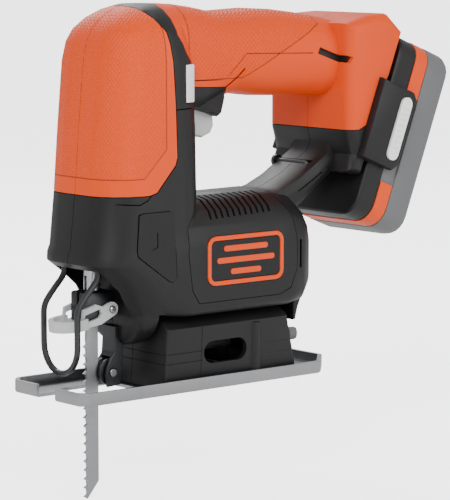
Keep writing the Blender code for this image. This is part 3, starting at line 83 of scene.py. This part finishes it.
def add(tree, kind, settings=None, **links):
    """Adds a node. Settings name its properties or inputs, and links are sockets that feed inputs."""
    node = tree.nodes.new(kind)
    for key, value in (settings or {}).items():
        if hasattr(node, key):
            setattr(node, key, value)
        else:
            node.inputs[key].default_value = value
    for key, socket in links.items():
        tree.links.new(socket, node.inputs[key.replace("_", " ")])
    return node


def new_material(name, slot):
    """An empty material, its node tree, and the object coordinates that patterns start from."""
    made = bpy.data.materials.new(name)
    made.use_nodes = True
    made["slot"] = slot
    tree = made.node_tree
    tree.nodes.clear()
    place = add(tree, "ShaderNodeTexCoord").outputs["Object"]
    return made, tree, place


def surface(tree, settings, **links):
    """Ends a material with its principled shader."""
    shader = add(tree, "ShaderNodeBsdfPrincipled", settings, **links)
    add(tree, "ShaderNodeOutputMaterial", None, Surface=shader.outputs["BSDF"])


def mixed(tree, factor, first, second):
    """Colour between two hex colours by a factor socket."""
    ramp = add(tree, "ShaderNodeValToRGB", None, Fac=factor)
    ramp.color_ramp.elements[0].color = linear(first)
    ramp.color_ramp.elements[1].color = linear(second)
    return ramp.outputs["Color"]


def between(tree, factor, low, high):
    """A value that goes from low to high as a factor socket goes from 0.3 to 0.7."""
    limits = {"From Min": 0.3, "From Max": 0.7, "To Min": low, "To Max": high}
    return add(tree, "ShaderNodeMapRange", limits, Value=factor).outputs["Result"]


def noise(tree, place, size_mm, detail=3.0):
    """Noise whose blobs are about size_mm wide."""
    scale = 1.0 / (size_mm * MM)
    return add(tree, "ShaderNodeTexNoise", {"Scale": scale, "Detail": detail}, Vector=place).outputs["Fac"]


def bump(tree, height, depth_mm):
    """Normal socket of a relief depth_mm deep."""
    return add(tree, "ShaderNodeBump", {"Distance": depth_mm * MM}, Height=height).outputs["Normal"]


# %% [markdown]
# ## Plastics
# The housing is injection-moulded ABS. The tool that moulds it is spark-eroded, so the surface has a
# fine grain that spreads highlights. Real grain is about 0.1 mm; it is drawn at 0.5 mm to show.


# %% Moulded plastic
PLASTIC_IOR = 1.54
CLOUD_MM = 22.0


def moulded_plastic(name, slot, base, worn, roughness, grain_mm=0.5, grain_depth=0.02):
    """Plastic with a fine grain, and a colour and shine that drift a little over the part."""
    made, tree, place = new_material(name, slot)
    grain = noise(tree, place, grain_mm)
    clouds = noise(tree, place, CLOUD_MM, 4.0)
    surface(tree, {"IOR": PLASTIC_IOR, "Specular IOR Level": 0.25},
            Base_Color=mixed(tree, clouds, base, worn),
            Roughness=between(tree, clouds, roughness - 0.05, roughness + 0.06),
            Normal=bump(tree, grain, grain_depth))
    return made


BLACK_ABS = moulded_plastic("black_abs_grained", "black_abs", "141415", "19191A", 0.45)
BLACK_SMOOTH = moulded_plastic("black_abs_smooth", "black_abs", "101011", "151516", 0.34, 0.8, 0.006)
ORANGE_ABS = moulded_plastic("orange_abs_moulded", "orange_abs", "DA4300", "DE4803", 0.42, 0.8, 0.008)
GREY_ABS = moulded_plastic("grey_abs_moulded", "grey_abs", "5F6061", "666768", 0.48)
PALE_ABS = moulded_plastic("pale_abs_moulded", "pale_abs", "B4B5B5", "BCBDBD", 0.4, 0.8, 0.01)
WHITE_ABS = moulded_plastic("white_abs_moulded", "white_abs", "EDEDEB", "F4F4F2", 0.38, 0.8, 0.006)
print("plastics ready")

# %% [markdown]
# ## Knurled grip surfaces
# The column and the handle carry a moulded pattern of fine diagonal ridges that cross. Two sine waves
# that run up and down the surface at opposite slants give it. The slant is taken along x minus y, so
# that the ridges run on round the corner of the column. The ridges are 1.5 mm apart. The pattern
# stops at a smooth border, and a thin groove marks the line where it stops. The groove is also
# painted dark in colour, as painted shade in it.


# %% Knurl shader
RIDGE_UP, RIDGE_DOWN = (0.62, -0.62, 0.62), (0.62, -0.62, -0.62)
GROOVE_HALF_MM = 0.25
# Dark colour painted into the border groove: painted shade in the groove.
GROOVE_PAINTED_SHADE = "5A1800"
COLOUR_A, COLOUR_B, COLOUR_OUT = 6, 7, 2


def calc(tree, operation, first, second=0.0):
    """Socket of one step of arithmetic on sockets or numbers."""
    node = add(tree, "ShaderNodeMath", {"operation": operation})
    for socket, value in zip(node.inputs, (first, second)):
        if isinstance(value, (int, float)):
            socket.default_value = value
        else:
            tree.links.new(value, socket)
    return node.outputs["Value"]


def slanted(tree, place, direction, offset_mm=0.0):
    """Distance in metres along a direction, less an offset."""
    node = add(tree, "ShaderNodeVectorMath", {"operation": "DOT_PRODUCT"})
    tree.links.new(place, node.inputs[0])
    node.inputs[1].default_value = direction
    return calc(tree, "SUBTRACT", node.outputs["Value"], offset_mm * MM)


def ridges_along(tree, place, direction, pitch_mm=1.5):
    """Wave that rises and falls once every pitch along a direction."""
    turns = math.tau / (pitch_mm * MM)
    return calc(tree, "SINE", calc(tree, "MULTIPLY", slanted(tree, place, direction), turns))


def knurled_plastic(name, slot, base, worn, roughness, borders, depth_mm=0.12):
    """Plastic with crossed ridges inside borders, each given as a direction and an offset in mm."""
    made, tree, place = new_material(name, slot)
    inside = None
    for direction, offset_mm in borders:
        distance = slanted(tree, place, direction, offset_mm)
        inside = distance if inside is None else calc(tree, "MINIMUM", inside, distance)
    mask = calc(tree, "GREATER_THAN", inside, 0.0)
    up, down = ridges_along(tree, place, RIDGE_UP), ridges_along(tree, place, RIDGE_DOWN)
    crossed = calc(tree, "MAXIMUM", up, down)
    ridges = calc(tree, "MULTIPLY", crossed, mask)
    groove = calc(tree, "LESS_THAN", calc(tree, "ABSOLUTE", inside), GROOVE_HALF_MM * MM)
    relief = calc(tree, "SUBTRACT", ridges, calc(tree, "MULTIPLY", groove, 3.0))
    clouds = noise(tree, place, CLOUD_MM, 4.0)
    # The border groove's colour is mixed 60% towards a dark colour: painted shade in the groove, besides its
    # real bump.
    shade = add(tree, "ShaderNodeMix", {"data_type": "RGBA"})
    tree.links.new(calc(tree, "MULTIPLY", groove, 0.6), shade.inputs["Factor"])
    tree.links.new(mixed(tree, clouds, base, worn), shade.inputs[COLOUR_A])
    shade.inputs[COLOUR_B].default_value = linear(GROOVE_PAINTED_SHADE)
    surface(tree, {"IOR": PLASTIC_IOR, "Specular IOR Level": 0.22}, Base_Color=shade.outputs[COLOUR_OUT],
            Roughness=between(tree, clouds, roughness - 0.05, roughness + 0.06),
            Normal=bump(tree, relief, depth_mm))
    return made


COLUMN_BORDERS = (((0, 0, 1), 97.5), ((1, 0, 0), 21.5), ((0.7, 0, 0.7), 92.0))
ORANGE_KNURLED = knurled_plastic("orange_abs_knurled", "orange_abs", "DA4300", "DE4803", 0.44,
                                 COLUMN_BORDERS)
GRIP_BORDERS = (((1, 0, 0), -78.0), ((-1, 0, 0), -3.0), ((0, 0, 1), 139.0), ((0.45, 0, 0.9), 111.0))
ORANGE_TPE = knurled_plastic("orange_tpe_overmould", "orange_tpe", "D84100", "DC4602", 0.52,
                             GRIP_BORDERS)
print("knurled surfaces ready")

# %% [markdown]
# ## Metals
# The shoe is pressed from zinc-plated sheet steel, the blade is ground, and the small clamp parts are
# blackened. Rolling and grinding leave fine lines in one direction, made here from noise that is
# stretched along that direction.


# %% Metals
def lined_metal(name, slot, base, worn, roughness, stretch=(1.0, 1.0, 1.0), line_mm=0.5, depth=0.012):
    """Metal with fine lines along the axis whose stretch is small, or an even grain without one."""
    made, tree, place = new_material(name, slot)
    scaled = add(tree, "ShaderNodeMapping", {"Scale": stretch}, Vector=place).outputs["Vector"]
    lines = noise(tree, scaled, line_mm, 4.0)
    clouds = noise(tree, place, 14.0, 4.0)
    colour = mixed(tree, clouds, base, worn)
    surface(tree, {"Metallic": 1.0}, Base_Color=colour, Normal=bump(tree, lines, depth),
            Roughness=between(tree, lines, roughness - 0.06, roughness + 0.08))
    return made


SHOE_STEEL = lined_metal("zinc_plated_sheet_steel", "bright_steel", "8E8F91", "9A9B9D", 0.33,
                         (0.03, 1.0, 1.0))
BLADE_STEEL = lined_metal("ground_blade_steel", "bright_steel", "8B8D8F", "9B9D9F", 0.36,
                          (1.0, 1.0, 0.04))
TURNED_STEEL = lined_metal("turned_steel", "bright_steel", "A8AAAC", "B8BABC", 0.28, (0.1, 1.0, 1.0))
PLAIN_STEEL = lined_metal("rolled_steel", "steel", "8C8E90", "9A9C9E", 0.4, (0.2, 1.0, 1.0))
BLACK_STEEL = lined_metal("blackened_steel", "dark_steel", "3C3D3F", "4A4B4D", 0.42,
                          line_mm=0.8, depth=0.01)
BRONZE = lined_metal("sintered_bronze", "bronze", "A98A4E", "B79A5E", 0.45)
COPPER = lined_metal("enamelled_copper", "copper", "B0622E", "C1763E", 0.35, (0.1, 1.0, 1.0))
CELL_WRAP = moulded_plastic("cell_shrink_wrap", "cell_wrap", "1F6A3C", "25774A", 0.3)
print("metals ready")

# %% [markdown]
# ## Pieces from the working parts
# The working parts have plain sharp edges. A moulded or pressed edge is rounded, and that thin bright
# line along each edge is what tells the eye the size of the object. So each visible part gets a
# merged copy whose edges are bevelled, and the copy stands for the part.


# %% Copying a part with softened edges
BODY_OF = {node: body for body, nodes in frame["record"]["behaviour"]["bodies"].items() for node in nodes}
SHARP = math.radians(32)
NEARLY_FLAT = math.radians(0.6)
WELD = 1e-6
SIDES = ((1, "left"), (-1, "right"))


def merged(node, bars):
    """Bmesh copy of a working part, with bars cut out and its loose triangles joined into faces."""
    bm = bmesh.new()
    bm.from_mesh(frame["nodes"][node].data)
    bmesh.ops.remove_doubles(bm, verts=bm.verts, dist=WELD)
    bmesh.ops.recalc_face_normals(bm, faces=bm.faces)
    if bars:
        bm = carved(bm, bars[0::2], bars[1::2])
    bmesh.ops.dissolve_limit(bm, angle_limit=NEARLY_FLAT, verts=bm.verts, edges=bm.edges)
    return bm


def bar_mesh(bars):
    """Cutter of separate bars, each a centre and a size in mm and a turn in degrees about y."""
    bm = bmesh.new()
    for centre, size, turn in bars:
        place = Matrix.Translation(Vector(centre) * MM) @ Matrix.Rotation(math.radians(turn), 4, "Y")
        bmesh.ops.create_cube(bm, size=1.0, matrix=place @ Matrix.Diagonal((*(Vector(size) * MM), 1.0)))
    mesh = bpy.data.meshes.new("bars")
    bm.to_mesh(mesh)
    bm.free()
    return mesh


def carved(bm, *passes):
    """Cuts the bars of each pass out of a bmesh. Bars that touch go in different passes."""
    mesh = bpy.data.meshes.new("blank")
    bm.to_mesh(mesh)
    blank = bpy.data.objects.new("blank", mesh)
    bpy.context.collection.objects.link(blank)
    for bars in passes:
        if not bars:
            continue
        cutter = bpy.data.objects.new("cutter", bar_mesh(bars))
        bpy.context.collection.objects.link(cutter)
        cut = blank.modifiers.new("cut", "BOOLEAN")
        cut.operation, cut.solver, cut.object = "DIFFERENCE", "EXACT", cutter
        cut.use_self = True
        bpy.context.view_layer.update()
        shown = blank.evaluated_get(bpy.context.evaluated_depsgraph_get())
        blank.data = bpy.data.meshes.new_from_object(shown)
        blank.modifiers.clear()
        bpy.data.objects.remove(cutter)
    bm.clear()
    bm.from_mesh(blank.data)
    bpy.data.objects.remove(blank)
    bmesh.ops.remove_doubles(bm, verts=bm.verts, dist=WELD)
    return bm


def run(points, width, y0, y1):
    """Bars that follow a line of (x, z) points on the left side, from depth y0 to y1."""
    bars = []
    for (x0, z0), (x1, z1) in zip(points, points[1:]):
        length = math.hypot(x1 - x0, z1 - z0) + width * 0.8
        centre = ((x0 + x1) / 2, (y0 + y1) / 2, (z0 + z1) / 2)
        bars.append((centre, (length, y1 - y0, width), math.degrees(math.atan2(z0 - z1, x1 - x0))))
    return bars


def other_side(bars):
    """The same bars on the right side."""
    return [((x, -y, z), size, turn) for (x, y, z), size, turn in bars]


def piece(name, bm, paint, body, edge_mm):
    """Turns a bmesh into a shown piece that rides on a body, with softened edges."""
    for face in bm.faces:
        face.smooth = True
    for edge in bm.edges:
        edge.smooth = len(edge.link_faces) == 2 and edge.calc_face_angle(0.0) < SHARP
    mesh = bpy.data.meshes.new(name)
    bm.to_mesh(mesh)
    bm.free()
    made = bpy.data.objects.new(name, mesh)
    bpy.context.collection.objects.link(made)
    made.data.materials.append(paint)
    bevel = made.modifiers.new("edge", "BEVEL")
    bevel.width = edge_mm * MM
    bevel.segments = 2
    bevel.limit_method = "ANGLE"
    bevel.angle_limit = SHARP
    bevel.use_clamp_overlap = True
    bevel.harden_normals = True
    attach(made, body)
    return made


def soften(node, paint, edge_mm, bars):
    """Stands a soft-edged copy, with bars cut out of it, in for a working part."""
    made = piece(node + "_finished", merged(node, bars), paint, BODY_OF[node], edge_mm)
    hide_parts(node)


# %% [markdown]
# ## Slots, louvres and marking lines
# The moulds leave shallow grooves that break up the black and orange surfaces. Eleven air slots run
# over the top of the motor cover, a long oval slot sits at the rear of the handle, and narrow
# grooves outline the panels. Each one is a row of bars cut out of the part it belongs to.

# %% Grooves of every part
LOUVRE_COUNT, LOUVRE_PITCH, LOUVRE_WIDTH = 11, 3.5, 1.2
LOUVRES = [((-7.0 - LOUVRE_PITCH * i, 26.0, 84.6), (LOUVRE_WIDTH, 34.0, 16.0 - 0.25 * i), -8.0)
           for i in range(LOUVRE_COUNT)]
PANEL_LINE = run([(48.0, 87.0), (36.6, 86.2), (32.2, 87.9), (20.0, 100.2), (18.2, 104.7), (19.1, 124.9),
                  (17.6, 127.0), (6.0, 127.3)], 0.5, 22.5, 31.0)
GRIP_SLOT = run([(-76.5, 149.7), (-87.0, 145.8)], 3.2, 16.0, 34.0)
THROAT_LINE = run([(-21.5, 134.0), (-31.5, 143.0)], 1.0, 10.0, 30.0)
GRIP_LINE = run([(4.0, 139.0), (-20.0, 138.6), (-32.0, 150.0), (-72.0, 149.0)], 0.4, 17.6, 24.0)
STRUT_LINE = run([(-67.1, 84.7), (-81.5, 92.6)], 0.6, 13.9, 19.0)
REAR_SLOT = [((-57.5, 24.0, 57.5), (1.3, 20.0, 13.0), 0.0)]
PAD_MARK = [((27.0, 28.0, 70.0), (0.5, 2.2, 7.0), 0.0), ((28.6, 28.0, 66.5), (3.0, 2.2, 0.5), 20.0)]
BASE_LINES = [((11.0, 24.6, 17.5), (24.0, 2.0, 0.45), 0.0), ((11.0, 24.6, 13.2), (24.0, 2.0, 0.45), 0.0),
              ((-0.5, 24.6, 15.0), (0.5, 1.6, 27.0), -3.0), ((-46.0, 24.6, 17.6), (16.0, 1.4, 0.45), 0.0),
              ((-46.0, 24.6, 12.7), (16.0, 1.4, 0.45), 0.0), ((21.0, 10.0, 17.5), (3.0, 30.0, 0.45), 0.0),
              ((21.0, 10.0, 13.2), (2.4, 30.0, 0.45), 0.0)]
BUTTON_TOP, BUTTON_FOOT = Vector((-118.8, 34.4, 124.5)), Vector((-110.2, 34.4, 100.6))
BUTTON_RIBS = [(tuple(BUTTON_TOP.lerp(BUTTON_FOOT, 0.12 + 0.108 * i)), (4.2, 1.6, 0.55), -12.0)
               for i in range(8)]
GROOVES = {
    "motor_cover": LOUVRES,
    "housing": PANEL_LINE + STRUT_LINE + REAR_SLOT,
    "grip_cover": GRIP_SLOT + THROAT_LINE + GRIP_LINE,
    "side_pad": PAD_MARK,
    "base": BASE_LINES,
    "release_button": BUTTON_RIBS,
}


def grooves(node):
    """The bars cut out of a node on its own side."""
    name, _, side = node.rpartition("_")
    bars = GROOVES.get(name, [])
    return other_side(bars) if side == "right" else bars


# %% [markdown]
# ## Which part has which finish
# Each part is listed with its finish and the width of its softened edges in mm. Parts with a width
# of 0 are mostly hidden: they keep their working shape and only get the finish.

# %% Finishes for every part
FINISH = {
    "shoe_plate": (SHOE_STEEL, 0.35), "saw_blade": (BLADE_STEEL, 0.0), "plunger_rod": (TURNED_STEEL, 0.3),
    "gear_axle": (TURNED_STEEL, 0.0), "crank_pin": (TURNED_STEEL, 0.0), "crank_roller": (TURNED_STEEL, 0.0),
    "lever_pin": (TURNED_STEEL, 0.0), "roller_pin": (PLAIN_STEEL, 0.0), "crank_gear": (PLAIN_STEEL, 0.0),
    "gear_frame": (PLAIN_STEEL, 0.3), "motor_can": (PLAIN_STEEL, 0.0),
    "motor_bell_front": (PLAIN_STEEL, 0.0), "motor_bell_rear": (BLACK_SMOOTH, 0.0),
    "motor_armature": (COPPER, 0.0), "motor_fan": (BLACK_SMOOTH, 0.0), "motor_pinion": (BRONZE, 0.0),
    "plunger_bush_lower": (BRONZE, 0.0), "plunger_bush_upper": (BRONZE, 0.0), "bevel_brake": (BRONZE, 0.0),
    "bevel_lever": (GREY_ABS, 0.4), "blade_clamp": (BLACK_STEEL, 0.4), "guard_wire": (BLACK_STEEL, 0.0),
    "roller_bracket": (BLACK_STEEL, 0.3), "support_roller": (BLACK_STEEL, 0.3),
    "release_lever": (PALE_ABS, 0.3), "trigger": (PALE_ABS, 0.4), "lock_off_button": (WHITE_ABS, 0.5),
    "release_button_left": (WHITE_ABS, 0.4), "release_button_right": (WHITE_ABS, 0.4),
    "switch_module": (BLACK_SMOOTH, 0.0), "battery_shell": (GREY_ABS, 0.5), "battery_collar": (BLACK_ABS, 0.5),
    "battery_trim_top": (ORANGE_ABS, 0.25), "battery_trim_bottom": (ORANGE_ABS, 0.25),
    "battery_cell_1": (CELL_WRAP, 0.0), "battery_cell_2": (CELL_WRAP, 0.0), "battery_cell_3": (CELL_WRAP, 0.0),
    "base_left": (BLACK_ABS, 0.6), "base_right": (BLACK_ABS, 0.6), "housing_left": (BLACK_ABS, 0.5),
    "housing_right": (BLACK_ABS, 0.5), "column_cover_left": (ORANGE_KNURLED, 0.5),
    "column_cover_right": (ORANGE_KNURLED, 0.5), "grip_cover_left": (ORANGE_TPE, 0.5),
    "grip_cover_right": (ORANGE_TPE, 0.5), "motor_cover_left": (BLACK_ABS, 0.5),
    "motor_cover_right": (BLACK_ABS, 0.5), "side_pad_left": (BLACK_SMOOTH, 0.4),
    "side_pad_right": (BLACK_SMOOTH, 0.4), "badge_frame_left": (ORANGE_ABS, 0.2),
    "badge_frame_right": (ORANGE_ABS, 0.2),
}
for number in range(1, 6):
    FINISH[f"housing_screw_{number}"] = (BLACK_STEEL, 0.0)
for number in range(1, 5):
    FINISH[f"shoe_screw_{number}"] = (PLAIN_STEEL, 0.0)
for node, (paint, edge_mm) in FINISH.items():
    if edge_mm:
        soften(node, paint, edge_mm, grooves(node))
    else:
        working = frame["nodes"][node]
        for holder in working.material_slots:
            holder.material = paint
print("finished", len(FINISH), "parts")

# %% [markdown]
# ## Plate inside each badge frame
# The orange frame on the motor cover holds a plain plate. It is a flat block with rounded corners
# and edges, with three plain bars on it in place of any lettering.


# %% Badge plates
def rounded_block(name, low_corner, high_corner, paint, body, corner_mm, edge_mm):
    """Block whose corners along y are rounded, with softened edges."""
    bm = bmesh.new()
    low_point, high_point = Vector(low_corner) * MM, Vector(high_corner) * MM
    size = high_point - low_point
    middle = Matrix.Translation((low_point + high_point) / 2)
    bmesh.ops.create_cube(bm, size=1.0, matrix=middle @ Matrix.Diagonal((*size, 1.0)))
    along = [e for e in bm.edges if abs(e.verts[0].co.y - e.verts[1].co.y) > size.y / 2]
    bmesh.ops.bevel(bm, geom=along, offset=corner_mm * MM, affect="EDGES", segments=6, profile=0.5,
                    material=-1)
    piece(name, bm, paint, body, edge_mm)


FRAME_WIDTH = 2.4
PLATE_BACK, PLATE_FACE = 27.7, 28.05
BAR_BACK, BAR_FACE = 27.9, 28.35
BAR_LENGTHS, BAR_HALF_HEIGHT, BAR_PITCH, TOP_BAR_Z = (26.0, 34.0, 18.0), 1.3, 5.3, 63.4
for side, label in SIDES:
    frame_low, frame_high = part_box("badge_frame_" + label)
    inner, outer = sorted((side * PLATE_BACK, side * PLATE_FACE))
    rounded_block("badge_plate_" + label,
                  (frame_low.x / MM + FRAME_WIDTH, inner, frame_low.z / MM + FRAME_WIDTH),
                  (frame_high.x / MM - FRAME_WIDTH, outer, frame_high.z / MM - FRAME_WIDTH),
                  BLACK_SMOOTH, "tool", 2.0, 0.1)
    middle = (frame_low.x + frame_high.x) / 2 / MM
    inner, outer = sorted((side * BAR_BACK, side * BAR_FACE))
    for row, length in enumerate(BAR_LENGTHS):
        height = TOP_BAR_Z - BAR_PITCH * row
        rounded_block(f"badge_bar_{label}_{row}", (middle - length / 2, inner, height - BAR_HALF_HEIGHT),
                      (middle + length / 2, outer, height + BAR_HALF_HEIGHT), ORANGE_ABS, "tool", 1.2, 0.1)
print("badges made")

# %% [markdown]
# ## Dark floor of the handle slot
# The long slot at the rear of the handle opens onto black plastic. A thin block stands inside the
# wall, behind the slot, on each side.


# %% Slot floors
SLOT_X, SLOT_Y, SLOT_Z = -81.7, 17.5, 147.7
SLOT_TURN = Matrix.Rotation(math.radians(-20.4), 4, "Y")
SLOT_SIZE = Matrix.Diagonal((14.0 * MM, 1.0 * MM, 5.0 * MM, 1.0))
for side, label in SIDES:
    backing = bmesh.new()
    middle = Matrix.Translation(Vector((SLOT_X, side * SLOT_Y, SLOT_Z)) * MM)
    bmesh.ops.create_cube(backing, size=1.0, matrix=middle @ SLOT_TURN @ SLOT_SIZE)
    piece("slot_floor_" + label, backing, BLACK_SMOOTH, "tool", 0.2)
print("slot floors made")

# %% [markdown]
# ## Ribs down the base
# A rounded rib runs down each side of the base behind its window. A half-round bar is enough: a
# cylinder set into the wall, so that a little of it stands out.

# %% Base ribs
RIB_X, RIB_Y, RIB_Z = -33.2, 21.7, 14.8
RIB_HEIGHT, RIB_FOOT_RADIUS, RIB_TOP_RADIUS = 25.6, 4.0, 3.4
for side, label in SIDES:
    rib = bmesh.new()
    middle = Matrix.Translation(Vector((RIB_X, side * RIB_Y, RIB_Z)) * MM)
    bmesh.ops.create_cone(rib, cap_ends=True, segments=40, radius1=RIB_FOOT_RADIUS * MM,
                          radius2=RIB_TOP_RADIUS * MM, depth=RIB_HEIGHT * MM, matrix=middle)
    piece("base_rib_" + label, rib, BLACK_ABS, "shoe", 0.5)
print("base ribs made")

# %% [markdown]
# ## Floor, light and camera
# The floor is a plain pale sheet under the tip of the blade. To the camera it also glows a little,
# as a lit studio sweep does, and that glow adds no light to the object. Three large soft lamps light
# the object evenly, the brightest from the front left. The camera stands a little above the shoe.

# %% Studio
FLOOR_SIZE, FLOOR_GAP, FLOOR_GLOW = 60.0, 0.0005, 2.6
low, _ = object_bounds()
floor = bmesh.new()
bmesh.ops.create_grid(floor, x_segments=1, y_segments=1, size=FLOOR_SIZE)
bmesh.ops.translate(floor, verts=floor.verts, vec=(0, 0, low.z - FLOOR_GAP))
floor_mesh = bpy.data.meshes.new("studio_floor")
floor.to_mesh(floor_mesh)
floor.free()
floor_object = bpy.data.objects.new("studio_floor", floor_mesh)
bpy.context.collection.objects.link(floor_object)
FLOOR_PAPER, floor_tree, floor_place = new_material("floor_paper", "floor")
paper = mixed(floor_tree, noise(floor_tree, floor_place, 60.0), "FAFAFA", "FDFDFD")
surface(floor_tree, {"Roughness": 0.9, "Emission Color": linear("FFFFFF")}, Base_Color=paper)
seen = add(floor_tree, "ShaderNodeLightPath").outputs["Is Camera Ray"]
shader = next(node for node in floor_tree.nodes if node.type == "BSDF_PRINCIPLED")
floor_tree.links.new(calc(floor_tree, "MULTIPLY", seen, FLOOR_GLOW), shader.inputs["Emission Strength"])
floor_mesh.materials.append(FLOOR_PAPER)

world = bpy.data.worlds.new("studio_world")
world.use_nodes = True
world.node_tree.nodes["Background"].inputs["Color"].default_value = linear("FFFFFF")
world.node_tree.nodes["Background"].inputs["Strength"].default_value = 0.75
bpy.context.scene.world = world


def lamp(name, place, aim, size, power):
    """A square soft lamp that faces a point."""
    data = bpy.data.lights.new(name, "AREA")
    data.shape = "SQUARE"
    data.size = size
    data.energy = power
    made = bpy.data.objects.new(name, data)
    bpy.context.collection.objects.link(made)
    made.location = place
    made.rotation_euler = (Vector(aim) - Vector(place)).to_track_quat("-Z", "Y").to_euler()


CENTRE = (-0.03, 0.0, 0.07)
lamp("key_lamp", (0.9, 0.75, 0.9), CENTRE, 0.6, 14.0)
lamp("fill_lamp", (-0.5, 1.1, 0.5), CENTRE, 0.8, 7.0)
lamp("rim_lamp", (-0.4, -0.9, 0.9), CENTRE, 0.7, 8.0)

CAMERA_AZIMUTH, CAMERA_ELEVATION = math.radians(139.9), math.radians(7.2)
camera_data = bpy.data.cameras.new("camera")
camera_data.lens = 187.2
camera = bpy.data.objects.new("camera", camera_data)
bpy.context.collection.objects.link(camera)
camera.location = (0.7362, 0.9155, 0.2094)
camera.rotation_euler = (math.pi / 2 - CAMERA_ELEVATION, 0.0, CAMERA_AZIMUTH)
bpy.context.scene.camera = camera
print("camera at", tuple(camera.location))
